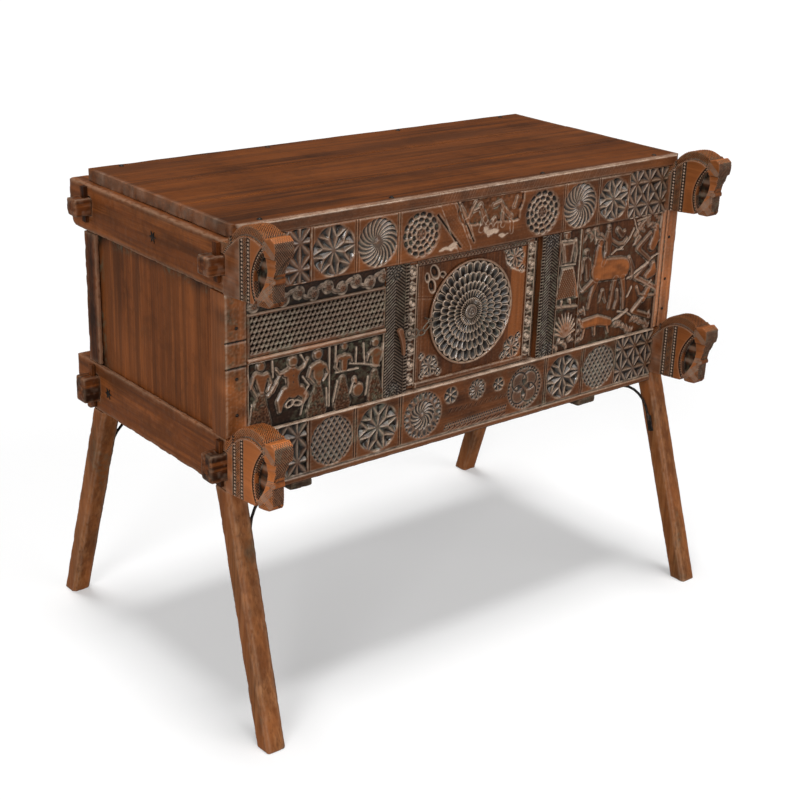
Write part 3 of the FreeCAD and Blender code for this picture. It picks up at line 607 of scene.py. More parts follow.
def rgb(value):
    """A colour given in screen values from 0 to 255, as the shader wants it."""
    shares = [c / 255 for c in value]
    return tuple(c / 12.92 if c <= 0.04045 else ((c + 0.055) / 1.055) ** 2.4 for c in shares) + (1.0,)


WHITE = (1.0, 1.0, 1.0, 1.0)
# How much of the white backdrop shows in a mirror
MIRRORED = 0.05
# The grain is drawn out along one axis
GRAIN = {"x": (0.06, 1, 1), "y": (1, 0.06, 1), "z": (1, 1, 0.06)}
# Each wood's name and the colours of its grain, in screen values
GRAIN_TONES = ("dark", "middle", "light", "waxed")
WOODS = {
    "carved": ("Carved wood", (42, 22, 12), (74, 39, 19), (112, 66, 38), (176, 102, 52)),
    "warm": ("Horse heads and left post", (54, 29, 14), (100, 54, 27), (146, 90, 54), (184, 108, 56)),
    # The rubbed wood is a lighter copy of the warm wood: partly handled wood, partly painted light where the
    # lamp falls strongly on the lower-left head
    "rubbed": ("Most handled wood", (88, 46, 22), (134, 74, 36), (182, 112, 64), (214, 126, 66)),
    "timber": ("Rails and end panels", (46, 23, 10), (100, 52, 22), (156, 90, 45), (176, 102, 52)),
    "lid": ("Lid", (76, 39, 13), (104, 53, 14), (134, 74, 27), (176, 102, 52)),
    "board": ("Plain boards", (60, 31, 14), (106, 56, 25), (136, 76, 38), (176, 102, 52)),
    "leg": ("Legs", (84, 49, 25), (128, 80, 44), (160, 112, 72), (176, 102, 52)),
}
# Colours that age, dirt, wear and the forge give, in screen values, and some painted light
# The hollows' colour is painted shade; the worn edges, bare wood and rubbed iron are partly painted highlight
AGEING = {
    "pores": ("Pores", (40, 20, 9)), "stain": ("Stains", (38, 20, 10)), "soil": ("Soil", (34, 19, 10)),
    "dust": ("Dust", (84, 67, 51)), "hollow": ("Hollows", (15, 9, 5)),
    "bloom": ("Grey-green bloom", (92, 92, 74)),
    "worn_edge": ("Worn edges", (206, 176, 148)), "bare": ("Bare wood", (226, 198, 174)),
    "iron": ("Iron", (36, 33, 31)), "rust": ("Rust", (78, 56, 42)),
    "iron_grain": ("Iron grain", (120, 114, 106)),
    "iron_rubbed": ("Rubbed iron and painted highlights", (150, 132, 114)),
}
# The woods that are waxed, and how much each is stained
CARVED_KINDS = ("carved", "rubbed", "warm")
STAINS = {"carved": 0.7, "warm": 0.5, "rubbed": 0.3, "lid": 0.3, "timber": 0.55, "leg": 0.3, "board": 0.6}
finishes = {}


def chosen(key):
    """A colour from the sidebar."""
    return tuple(getattr(bpy.context.scene.trunk_colours, key))


def wood(kind, along):
    """Old wood, waxed where carved: painted shade in the cuts, with a grey-green bloom, and lighter edges
    that are partly wear and partly painted highlight.
    """
    name = f"{kind}_wood_{along}"
    if name in finishes:
        return finishes[name]
    f = Finish(name)
    stretch, finer, finest = (tuple(share * s if s < 1 else s for s in GRAIN[along])
                              for share in (1, 0.5, 0.35))
    dark, middle, light, waxed = (chosen(f"{kind}_{tone}") for tone in GRAIN_TONES)
    cavity, ridge, polish, bare, dust = (f.tone(key) for key in ("cavity", "ridge", "polish", "bare", "dust"))
    here = f.place()
    broad = f.noise(f.place(stretch), 34.0, 3.0, 0.5, 0.6)
    fibre = f.noise(f.place(finest), 260.0, 6.0, 0.65)
    patch = f.noise(here, 11.0, 4.0, 0.6)
    soil = f.noise(here, 42.0, 5.0, 0.65)
    spot = f.noise(here, 95.0, 3.0, 0.6)
    streak = f.noise(f.place(finer), 90.0, 4.0, 0.6)
    colour = f.mixed(broad.between(0.36, 0.6), dark, middle)
    colour = f.mixed(streak.between(0.45, 0.7) * (0.4 if kind == "lid" else 0.6), colour, light)
    colour = f.mixed((1 - fibre.between(0.36, 0.5)) * 0.5, colour, chosen("pores"))
    colour = f.mixed(patch.between(0.5, 0.68) * STAINS[kind], colour, chosen("stain"))
    colour = f.mixed(soil.between(0.5, 0.66) * 0.7 * STAINS[kind], colour, chosen("soil"))
    colour = f.mixed((polish * (0.5 + 0.6 * fibre)).clamped(), colour, waxed)
    bloom = spot.between(0.42, 0.62) * cavity.between(0.08, 0.3) * (1 - cavity.between(0.45, 0.8))
    colour = f.mixed((dust * (0.45 + spot)).clamped() * 0.85, colour, chosen("dust"))
    # Painted shade in the hollows, together with the grime
    colour = f.mixed(cavity.between(0.08, 0.54) * 0.96, colour, chosen("hollow"))
    colour = f.mixed(bloom * patch.between(0.42, 0.62) * 0.6, colour, chosen("bloom"))
    # Painted highlight on the ridges, partly real edge wear
    edge_share = 0.62 if kind in CARVED_KINDS else 0.34
    colour = f.mixed((ridge * (0.35 + spot)).clamped() * edge_share, colour, chosen("worn_edge"))
    # Pale worn wood, partly painted highlight on outlines, beads, studs and top edges
    colour = f.mixed((bare * (0.3 + 1.1 * spot)).clamped() * 0.8, colour, chosen("bare"))
    rough = 0.45 + 0.2 * cavity.between(0.4, 0.9) + 0.25 * (fibre - 0.5) + 0.16 * patch - 0.06 * polish
    height = fibre * 0.6 + spot * 0.7 + streak * 0.35
    bump = f.bump(0.7, 0.001, height)
    wax = (dust + ridge * 0.9 + 0.05) * (1 - cavity.between(0.6, 0.95))
    f.set(Base_Color=colour, Roughness=rough.clamped(), Normal=bump, Specular_IOR_Level=0.12)
    if kind in CARVED_KINDS:
        f.set(Coat_Weight=(wax * (0.2 + spot)).clamped(), Coat_Roughness=0.22, Coat_IOR=1.9)
    finishes[name] = f.material
    return f.material


def iron(rubbed=0.0):
    """Black forged iron, brighter and browner where hands have rubbed it; on the chain parts this is partly
    painted highlight.
    """
    name = f"forged_iron_{round(100 * rubbed)}"
    if name in finishes:
        return finishes[name]
    f = Finish(name)
    here = f.place()
    rust = f.noise(here, 120.0, 5.0, 0.6)
    grain = f.noise(here, 700.0, 3.0, 0.6)
    colour = f.mixed(rust.between(0.45, 0.7), chosen("iron"), chosen("rust"))
    colour = f.mixed(grain.between(0.55, 0.8) * 0.5, colour, chosen("iron_grain"))
    # Lighter rubbed iron: rubbed metal and painted highlight
    colour = f.mixed(rubbed * (0.4 + 0.6 * grain), colour, chosen("iron_rubbed"))
    bump = f.bump(0.5, 0.0005, rust + grain * 0.5)
    f.set(Base_Color=colour, Metallic=0.75, Roughness=(0.42 + 0.3 * rust).clamped(), Normal=bump)
    finishes[name] = f.material
    return f.material


def dressed(piece, material, body, slot, *nodes):
    """Gives a piece its finish and the body it rides on, and hides the nodes it stands for. slot is not used.
    """
    piece.data.materials.clear()
    piece.data.materials.append(material)
    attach(piece, body)
    if nodes:
        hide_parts(*nodes)
    return piece


def recoated(node, material):
    """Gives a node that keeps its own shape its finish."""
    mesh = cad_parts[node].data
    mesh.materials.clear()
    mesh.materials.append(material)


# Shapes taken from the plain model and aged
def kept(bm, axis, value, side):
    """Cuts the bmesh across an axis, keeps the side named by the sign, and closes the cut."""
    point, normal = [0.0] * 3, [0.0] * 3
    point[axis], normal[axis] = value, 1.0
    geometry = bm.verts[:] + bm.edges[:] + bm.faces[:]
    cut = bmesh.ops.bisect_plane(bm, geom=geometry, dist=1e-7, plane_co=point, plane_no=normal,
                                 clear_outer=side < 0, clear_inner=side > 0)
    edges = [e for e in cut["geom_cut"] if isinstance(e, bmesh.types.BMEdge)]
    bmesh.ops.triangle_fill(bm, use_beauty=True, edges=edges)
    bmesh.ops.recalc_face_normals(bm, faces=bm.faces)
    return bm


def evened(piece, co, passes, amount=0.5):
    """The points after moving each towards the middle of its neighbours a number of times."""
    edges = np.zeros(len(piece.data.edges) * 2, int)
    piece.data.edges.foreach_get("vertices", edges)
    a, b = edges.reshape(-1, 2).T
    degree = np.maximum(np.bincount(a, minlength=len(co)) + np.bincount(b, minlength=len(co)), 1)
    for _ in range(passes):
        total = np.zeros_like(co)
        for k in range(3):
            total[:, k] = np.bincount(a, co[b, k], len(co)) + np.bincount(b, co[a, k], len(co))
        co = co + amount * (total / degree[:, None] - co)
    return co


def tone_by_shape(piece, depth=0.7, extra=None):
    """Paints shade into hollows and lightens edges (partly wear, partly painted highlight), from how far each
    point stands off its neighbourhood.
    """
    co, n = points_of(piece), normals_of(piece)
    off = ((evened(piece, co, 10) - co) * n).sum(1) / MM
    tones = {"cavity": np.clip(off / depth, 0, 1), "ridge": np.clip(-off / depth, 0, 1) * 0.7,
             "polish": np.zeros(len(co)), "bare": np.zeros(len(co))}
    for key, values in (extra or {}).items():
        tones[key] = np.clip(tones[key] + values, 0, 1)
    for key, values in tones.items():
        set_tone(piece, key, values)


def roughened(piece, wobble, seed, nicks):
    """Uneven hand-cut faces and bitten edges. wobble and nicks in millimetres, always inwards."""
    co, n = points_of(piece), normals_of(piece)
    swell = noise_at(co, 0.03, seed) + 0.4 * noise_at(co, 0.009, seed + 1)
    sharp = np.clip(-((evened(piece, co, 8) - co) * n).sum(1) / 0.0006, 0, 1)
    bite = np.clip(noise_at(co[:, [2, 0, 1]], 0.009, seed + 2) - 0.5, 0, 1) * 2
    set_points(piece, co - n * ((wobble * swell + nicks * sharp * bite) * MM)[:, None])


def aged(node, ending, material, slot, voxel, soften, wobble, seed, nicks=0.0, cuts=(), body=CARCASS):
    """Puts a worn copy of a node's shape in its place. voxel in metres, wobble and nicks in millimetres."""
    bm = cad_mesh(node)
    for axis, value, side in cuts:
        kept(bm, axis, value, side)
    piece = remeshed(f"{node}_{ending}", bm, voxel)
    set_points(piece, evened(piece, points_of(piece), soften))
    roughened(piece, wobble, seed, nicks)
    tone_by_shape(piece)
    return dressed(piece, material, body, slot, node)


def face_of(node, step, u=None):
    """An uncut face as large as the front of a node, or between two places along it."""
    lo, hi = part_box(node)
    u = u or (lo.x / MM, hi.x / MM)
    return Relief(u[0], u[1], lo.z / MM, hi.z / MM, step)


def hung(node, face, material, body=CARCASS, slot="carved_wood", depth=5.0, **aging):
    """Hangs the carved face on its node's own front and back planes."""
    lo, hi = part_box(node)
    h = finished_height(face, **aging)
    piece = carved_slab(node + "_carved", face, h, lo.y, hi.y, depth)
    return dressed(piece, material, body, slot, node)


def double_line(face, x, z0, z1):
    """Two upright grooves side by side, which part one field from the next."""
    for shift in (-2.6, 2.6):
        face.groove((x + shift, z0), (x + shift, z1), 2.2, 2.0)


def plain_ground(face, left, right):
    """Smooth orange wood where nothing is cut, fading from left to right."""
    share = (face.u - face.u0) / (face.u1 - face.u0)
    patches = grain_noise(face.u / 40, face.v / 25, seed=31)
    face.polish = np.maximum(face.polish, (left + (right - left) * share) * (0.15 + 0.75 * patches))


def hatched(face, area, inside, pitch, depth, slope=1.0):
    """Fine crossing cuts inside a shape, whose signed distance is given."""
    u, v = face.u[area], face.v[area]
    lines = depth * np.clip(1 - crossing(u, slope * v, pitch) * 2.2, 0, 1)
    face.h[area] = np.minimum(face.h[area], np.where(inside < 0, face.h[area] - lines, 1))


def ridge_line(face, points, ground, width=1.6, bare=0.8):
    """A thin raised line left standing on the ground."""
    us, vs = [p[0] for p in points], [p[1] for p in points]
    area = face.window(min(us) - 6, max(us) + 6, min(vs) - 6, max(vs) + 6)
    distance = limb(face.u[area], face.v[area], points, [width] * len(points))
    face.raised(distance, area, ground, 1.4, 0.6)
    # The raised line's top is pale: partly worn wood, partly painted highlight
    face.paled(bare * ease(-distance / 1.2), area)


def stand(face, shape, ground, edge=2.6, level=0.3, polish=0.8):
    """Leaves a rounded figure standing. shape gives the signed distance over the whole face."""
    face.raised(shape(face.u, face.v), WHOLE, ground, edge, level, polish)


def limbs(*chains):
    """One shape from several limbs, each given as points with a radius: (x, z, radius), ..."""
    def shape(u, v):
        best = np.full(u.shape, 1e9)
        for chain in chains:
            best = np.minimum(best, limb(u, v, [p[:2] for p in chain], [p[2] for p in chain]))
        return best
    return shape


# The carved faces of the front. Places are in millimetres: x from the middle of the trunk, z above the floor
def top_rail_face():
    """Stars, whirls and pierced rings in squares, on both sides of a worn scene."""
    face = face_of("front_rail_top", 1.05, (high("post_front_left").x / MM, low("post_front_right").x / MM))
    z0, z1 = face.v0 + 2, face.v1 - 2
    middle = (z0 + z1) / 2
    plain_ground(face, 0.9, 0.15)
    star_cells(face, face.u0, -388, z0, z1, 3, 2)
    star_cells(face, 404, face.u1, z0, z1, 3, 2)
    for x in (-385, -288, -194, 219, 314, 401):
        double_line(face, x, z0, z1)
    face.roundel(-338, middle, 46, petal_star(8, 6.0, 0.12))
    face.roundel(-241, middle, 44, swirl(21))
    face.roundel(-142, middle, 44, pierced(), dust=0.3)
    face.roundel(160, middle, 45, pierced(), dust=0.3)
    face.roundel(262, middle, 44, swirl(19))
    face.roundel(357, middle, 43, petal_star(8, 6.0, 0.25))
    # The worn scene in the middle: a woven band, a forked figure and two animals, all rubbed down
    scene = face.window(-112, 108, z0, z1)
    u, v = face.u[scene], face.v[scene]
    ground = 3.6
    open_ground = np.maximum(limb(u, v, [(-30, 886), (92, 880)], [30, 30]),
                             -limb(u, v, [(150, middle), (161, middle)], [48, 48]))
    rough = grain_noise(u / 6, v / 6, seed=23)
    face.h[scene] = np.minimum(face.h[scene], -(ground - 1.4 * rough) * ease((-open_ground - 3 * rough) / 4))
    band = limb(u, v, [(-86, 912), (-36, 812)], [15, 15])
    face.raised(band, scene, ground, 3.0, 0.0, 0.2)
    hatched(face, scene, band + 2, 3.6, 1.3)
    for chain in (((-48, 898, 4), (-32, 868, 6), (-12, 902, 4)), ((-32, 868, 6), (-22, 838, 5)),
                  ((0, 892, 7), (12, 866, 7), (2, 846, 6)),
                  ((12, 866, 6), (26, 850, 6), (38, 862, 6)), ((26, 850, 5), (22, 834, 4)),
                  ((38, 862, 6), (40, 838, 4)), ((34, 888, 6), (50, 892, 6), (60, 878, 6), (78, 862, 6)),
                  ((60, 878, 5), (56, 848, 5)), ((78, 862, 5), (80, 832, 4)),
                  ((86, 880, 5), (92, 896, 4)), ((-16, 884, 4), (0, 890, 4))):
        figure = limb(u, v, [p[:2] for p in chain], [p[2] for p in chain])
        face.raised(figure + 1.6 * (grain_noise(u / 7, v / 7, seed=4) - 0.4), scene, ground, 3.4, 0.4, 0.15)
    for a, b, width in (((-104, 888), (-46, 820), 6), ((-58, 908), (-14, 826), 4)):
        face.groove(a, b, width, 3.0)
    for x, z, rx, rz in ((-66, 826, 12, 7), (-78, 822, 18, 4), (30, 838, 14, 6), (14, 846, 6, 7),
                         (58, 828, 13, 4)):
        area = face.window(x - 30, x + 30, z - 14, z + 14)
        ragged = grain_noise(face.u[area] / 7, face.v[area] / 5, seed=12)
        chip = oval(face.u[area], face.v[area], x, z, rx, rz) + 5 * (ragged - 0.5)
        face.h[area] -= 0.9 * ease(-chip / 2)
        face.paled(ease(-chip / 1.5), area)
    return face


def bottom_rail_face():
    """Stars and nets in squares, small flowers over rows of dots in the middle, and a plain lip below."""
    face = face_of("front_rail_bottom", 1.1, (high("post_front_left").x / MM, low("post_front_right").x / MM))
    face.grime = 0.13
    lip = face.v0 + 13
    z0, z1 = lip + 2, face.v1 - 4
    middle = (z0 + z1) / 2
    plain_ground(face, 0.55, 0.3)
    star_cells(face, face.u0, -392, z0, z1, 3, 2)
    star_cells(face, 404, face.u1, z0, z1, 3, 2)
    for x in (-389, -284, -178, 198, 303, 401):
        double_line(face, x, z0, z1)
    face.roundel(-337, middle, 47, diamond_net())
    face.roundel(-231, middle, 47, petal_star(8, 6.0, 0.3))
    face.roundel(-123, middle, 46, ringed_swirl())
    face.roundel(-54, 528, 17, small_flower(6))
    face.roundel(13, 526, 21, petal_star(10, 3.6))
    face.roundel(70, 524, 14, small_flower(6))
    face.roundel(141, middle, 46, crossed_petals(), dust=0.4)
    face.roundel(248, middle, 46, petal_star(8, 6.0, 0.1))
    face.roundel(352, middle, 46, diamond_net())
    for x in np.arange(-66, 92, 6.2):
        rise = (x + 66) / 158 * 7
        for row in (0, 1):
            face.roundel(x + 3 * row, z0 + 8 + rise + 6 * row, 2.4, pit(3.2), 0.6)
    for x in np.arange(-60, 90, 13.0):
        face.groove((x, z0 + 3), (x + 9, z0 + 7), 2.0, 1.8)
        face.groove((x + 4, 494), (x + 10, 500), 1.8, 1.2)
    face.groove((face.u0, lip), (face.u1, lip), 3.4, 3.4)
    under = face.v < lip
    face.polish = np.where(under, 0.35, face.polish)
    line = np.abs(face.v - lip - 1.6) < 1.4
    face.paled(np.where(line, 0.75 * grain_noise(face.u / 9, face.v / 3, seed=77), 0))
    # The pale strip along the top edge is painted highlight, partly worn wood
    top = face.v > face.v1 - 2.4
    face.paled(np.where(top, 0.8 * grain_noise(face.u / 18, face.v / 3, seed=78) + 0.2, 0))
    return face


def lattice_face():
    """A leaf scroll on top, a plain strip, and rows of small three-cornered pits below."""
    face = face_of("lattice_board", 0.95)
    face.grime = 0.24
    face.pale = 0.55
    face.dust[:] = 0.1
    u, v = face.u, face.v
    strip_low, strip_high = 773, face.v1 - 3
    plain_ground(face, 0.55, 0.45)
    scroll = face.window(face.u0, face.u1, strip_low, strip_high)
    su, sv = u[scroll], v[scroll]
    ground = 4.4
    face.h[scroll] = -ground
    spacing, swing = 31, 9.5
    round_about = su / (2 * spacing) * 2 * math.pi
    wave = strip_low + 16 + swing * np.sin(round_about)
    slope = swing * 2 * math.pi / (2 * spacing) * np.cos(round_about)
    stem = np.abs(sv - wave) / np.sqrt(1 + slope ** 2) - 1.9
    flowers = [(face.u0 + spacing / 2 + spacing * k, strip_low + (19 if k % 2 else 12), -1 if k % 2 else 1)
               for k in range(12)]
    for x, z, up in flowers:
        r = np.hypot(su - x, sv - z)
        turn = np.arctan2(sv - z, su - x)
        flower = r - (8.5 + 1.3 * np.cos(6 * turn))
        stem = np.minimum(stem, np.minimum(flower, np.abs(r - 11.2) - 0.8))
        leaf = oval(su, sv, x + 16, z + 10 * up, 7, 2.6, 0.5 * up)
        stem = np.minimum(stem, leaf)
    face.raised(stem, scroll, ground, 1.8, 0.5, 0.3)
    for x, z, _ in flowers:
        for turn in np.arange(0, 6.28, 1.05):
            face.roundel(x + 4.6 * math.cos(turn), z + 4.6 * math.sin(turn), 1.5, pit(3.0), 0.5)
        face.roundel(x, z, 1.6, pit(3.0), 0.5)
    for z in (strip_low - 1, face.v1 - 2):
        face.groove((face.u0, z), (face.u1, z), 1.8, 1.6)
    net = face.window(face.u0 + 6, face.u1 - 4, 700, 768)
    nu, nv = u[net], v[net]
    pitch = 9.7
    row = np.floor((nv - 700) / pitch)
    p = ((nu + (row % 2) * pitch / 2) / pitch) % 1.0 - 0.5
    q = ((nv - 700) / pitch) % 1.0 - 0.5
    wedge = np.clip(1 - (np.abs(p) * 1.9 + np.abs(q - 0.04) * 2.15), 0, 1)
    chip = np.clip(0.6 - np.hypot(p + 0.32, q + 0.3) * 2.2, 0, 1)
    face.cut(5.6 * ease(2.4 * wedge) + 1.4 * ease(2 * chip) + 0.5 + 0.6 * np.clip(p - q, 0, 1), net)
    face.polish[net] *= 0.35
    return face


def figure_face():
    """Folk figures with plain round heads on a pecked ground, a pot, and sticks between them."""
    face = face_of("figure_board", 0.9)
    face.grime = 0.19
    ground = 4.6
    inner = face.window(face.u0 + 4, face.u1 - 4, face.v0 + 5, face.v1 - 3)
    face.h[inner] = -ground
    stipple(face, inner, ground, 3.0, 1.5)
    for cloth in (((-487, 616, 11), (-490, 566, 27)), ((-366, 612, 9), (-368, 568, 23)),
                  ((-310, 614, 8), (-311, 568, 20)),
                  ((-238, 610, 9), (-236, 566, 19))):
        stand(face, limbs(cloth), ground, 2.2, 1.6, 0.35)
    raised = (face.h > -ground + 1.2) & (face.h < -1.0)
    face.h = np.where(raised, face.h - 1.5 * (grain_noise(face.u / 2.4, face.v / 2.4, seed=8) - 0.3), face.h)
    stand(face, limbs(((-497, 660, 6), (-486, 648, 13), (-485, 626, 6)), ((-474, 656, 6), (-486, 648, 12)),
                      ((-501, 658, 4.5), (-507, 641, 4), (-496, 622, 3.5)),
                      ((-471, 654, 4.5), (-465, 640, 4), (-472, 626, 3.5))), ground)
    stand(face, limbs(((-434, 650, 9), (-412, 648, 9)), ((-422, 650, 14), (-420, 634, 14), (-419, 616, 17)),
                      ((-434, 614, 13), (-446, 600, 10), (-447, 582, 5)),
                      ((-404, 612, 12), (-392, 600, 9), (-398, 590, 6)),
                      ((-436, 652, 5), (-448, 652, 4), (-455, 661, 4)),
                      ((-406, 650, 5), (-396, 656, 4.5), (-388, 668, 4))), ground, 3.2)
    stand(face, limbs(((-374, 650, 8), (-356, 648, 8)), ((-366, 648, 13), (-365, 634, 13), (-364, 616, 5)),
                      ((-380, 650, 5), (-386, 634, 4), (-374, 620, 3.5)),
                      ((-350, 648, 5), (-343, 634, 4), (-354, 620, 3.5))), ground)
    stand(face, limbs(((-318, 656, 6), (-298, 654, 6)), ((-308, 654, 9), (-308, 634, 8)),
                      ((-322, 656, 4), (-326, 640, 3.4), (-318, 630, 3)),
                      ((-294, 654, 4), (-290, 644, 3.4))), ground)
    stand(face, limbs(((-244, 650, 9), (-230, 648, 10)), ((-237, 650, 12), (-236, 630, 11)),
                      ((-252, 650, 4), (-256, 638, 3.4))), ground)
    for x, z, r in ((-487, 674, 10), (-420, 670, 11.5), (-366, 672, 10.5), (-308, 676, 8.5), (-238, 670, 10)):
        stand(face, limbs(((x, z, r), (x, z - 0.5, r))), ground, 3.4)
    face.roundel(-366, 672, 14.5, lambda r, a: 4.0 * np.clip(1 - np.abs(r - 0.88) / 0.1, 0, 1), 0.3)
    stand(face, limbs(((-276, 587, 14), (-276, 586, 14)), ((-281, 602, 4.5), (-283, 608, 6))), ground)
    for z in (664, 652, 640):
        face.roundel(-420, z - 8, 2.2, pit(1.8), 0.5)
    knot = face.window(-440, -396, 574, 610)
    loop = np.abs(oval(face.u[knot], face.v[knot], -426, 592, 9, 6, 0.5)) - 1.4
    loop = np.minimum(loop, np.abs(oval(face.u[knot], face.v[knot], -410, 590, 9, 5, -0.3)) - 1.4)
    face.raised(loop, knot, ground, 1.0, 0.2)
    face.paled(0.9 * ease(-loop / 0.9), knot)
    for points in (((-340, 680), (-340, 568)), ((-326, 680), (-327, 650)), ((-462, 678), (-461, 648)),
                   ((-513, 664), (-509, 636)),
                   ((-505, 606), (-513, 572)), ((-392, 604), (-402, 566)), ((-346, 604), (-345, 570)),
                   ((-322, 612), (-331, 574)), ((-325, 629), (-275, 627)),
                   ((-294, 640), (-260, 632), (-226, 622)), ((-280, 668), (-281, 638)),
                   ((-264, 672), (-261, 634)), ((-252, 606), (-257, 572)), ((-286, 604), (-294, 582)),
                   ((-402, 678), (-394, 664), (-398, 652)),
                   ((-398, 636), (-384, 618), (-396, 606)), ((-220, 664), (-224, 632))):
        ridge_line(face, points, ground, 1.7)
    for a, b in (((-446, 650), (-470, 616)), ((-452, 636), (-462, 622))):
        stand(face, limbs((a + (3,), b + (4.5,))), ground, 2.0, 0.4, 0.0)
    plain_ground(face, 0.5, 0.25)
    face.bare = np.where(face.v < face.v0 + 6, 0.25, face.bare)
    face.bare *= 0.62
    face.polish *= 0.55
    face.pale = 0.8
    return face


def stile_face(node, mirrored):
    """Nested chevrons with a row of notches up the outer edge and a fan at each end."""
    face = face_of(node, 0.9)
    face.grime = 0.36
    face.pale = 0.55
    width = face.u1 - face.u0
    side = (face.u1 - face.u) if mirrored else (face.u - face.u0)
    axis = 0.58 * width
    face.cut(0.4 + 2.4 * zigzag((face.v + np.abs(side - axis) * 0.75) / 6.2) ** 1.4)
    face.h = np.where(side < 0.2 * width, -0.6, face.h)
    notch = ((face.v / 6.4) % 1.0) - 0.5
    row = np.clip(1 - np.hypot((side - 0.1 * width) / (0.09 * width), notch * 2.4), 0, 1)
    face.cut(3.6 * ease(2 * row))
    for x in (0.2, 0.58, 0.97):
        at = face.u1 - x * width if mirrored else face.u0 + x * width
        face.groove((at, face.v0), (at, face.v1), 1.6, 1.8)
    centre = face.u1 - 0.62 * width if mirrored else face.u0 + 0.62 * width
    for z, up in ((face.v1 - 20, 1), (face.v0 + 18, -1)):
        face.roundel(centre, z, 17, petal_star(9, 3.6, up * math.pi / 2), dust=0.3)
    plain_ground(face, 0.35, 0.35)
    return face


def niche_face():
    """A standing figure with a plain round head in a sunk niche, over a palm."""
    face = face_of("niche_board", 0.9)
    ground = 4.8
    inner = face.window(face.u0 + 3, face.u1, face.v0 + 4, face.v1 - 2)
    face.h[inner] = -ground
    stipple(face, inner, ground, 3.0, 1.2)
    u, v = face.u, face.v
    around = limbs(((242, 802, 17), (242, 745, 19)))(u, v)
    face.h = np.where(around < 0, np.minimum(face.h, -ground - 1.6 * ease(-around / 3)), face.h)
    stand(face, limbs(((240, 799, 9), (240, 798, 9)), ((231, 806, 3), (247, 807, 3))), ground, polish=0.1)
    torso = np.maximum(np.abs(u - 242) - (15 + (v - 741) * 0.14), np.abs(v - 763) - 23)
    stand(face, lambda a, b: torso, ground, 4.5, 0.2, 0.1)
    for x0, x1 in ((222, 219), (263, 268)):
        stand(face, limbs(((x0, 786, 5), (x1, 764, 4.5), (x0 + 2, 742, 4))), ground, polish=0.05)
    skirt = np.maximum(np.abs(u - 246) - (16 + (734 - v) * 0.24), np.abs(v - 700) - 33)
    stand(face, lambda a, b: skirt, ground, 3.0, 0.4, 0.25)
    hatched(face, WHOLE, skirt + 3, 5.6, 2.0, 0.7)
    stand(face, limbs(((262, 728, 2), (276, 668, 5))), ground, 2.0, 0.2, 0.9)
    stand(face, limbs(((218, 652, 4.5), (281, 646, 4.5))), ground, polish=0.05)
    stand(face, limbs(((235, 664, 4), (233, 655, 4)), ((258, 664, 4), (260, 655, 4))), ground, polish=0.3)
    for points in (((279, 808), (279, 664)), ((225, 789), (262, 786)), ((222, 739), (268, 736)),
                   ((229, 784), (236, 744)),
                   ((256, 784), (250, 744))):
        ridge_line(face, points, ground, 1.5)
    # The palm below: leaves that fan out from the foot of the board
    for k in range(11):
        turn = math.radians(14 + 15.2 * k)
        tip = (250 + 36 * math.cos(turn), 586 + 50 * math.sin(turn))
        middle = (250 + 18 * math.cos(turn), 586 + 27 * math.sin(turn))
        stand(face, limbs(((250, 584, 1.5), middle + (3.4,), tip + (1.2,))), ground, 1.8, 0.5 + 0.5 * (k % 2),
              0.85)
    foliage(face, 222, 278, 562, 584, ground, 7)
    face.bare *= 0.62
    return face


def foliage(face, u0, u1, v0, v1, ground, seed):
    """Small overlapping leaves, turned by a fixed sequence of angles."""
    count = int((u1 - u0) * (v1 - v0) / 110)
    for k in range(count):
        a, b = (k * 0.618034 + seed * 0.13) % 1.0, (k * 0.754878 + seed * 0.37) % 1.0
        x, z, turn = u0 + (u1 - u0) * a, v0 + (v1 - v0) * b, 2.4 * k
        area = face.window(x - 10, x + 10, z - 10, z + 10)
        leaf = oval(face.u[area], face.v[area], x, z, 8, 3.4, turn)
        face.raised(leaf, area, ground, 1.8, 0.6 + 1.4 * a, 0.4)
        dx, dz = 6 * math.cos(turn), 6 * math.sin(turn)
        face.groove((x - dx, z - dz), (x + dx, z + dz), 1.2, 2.4)


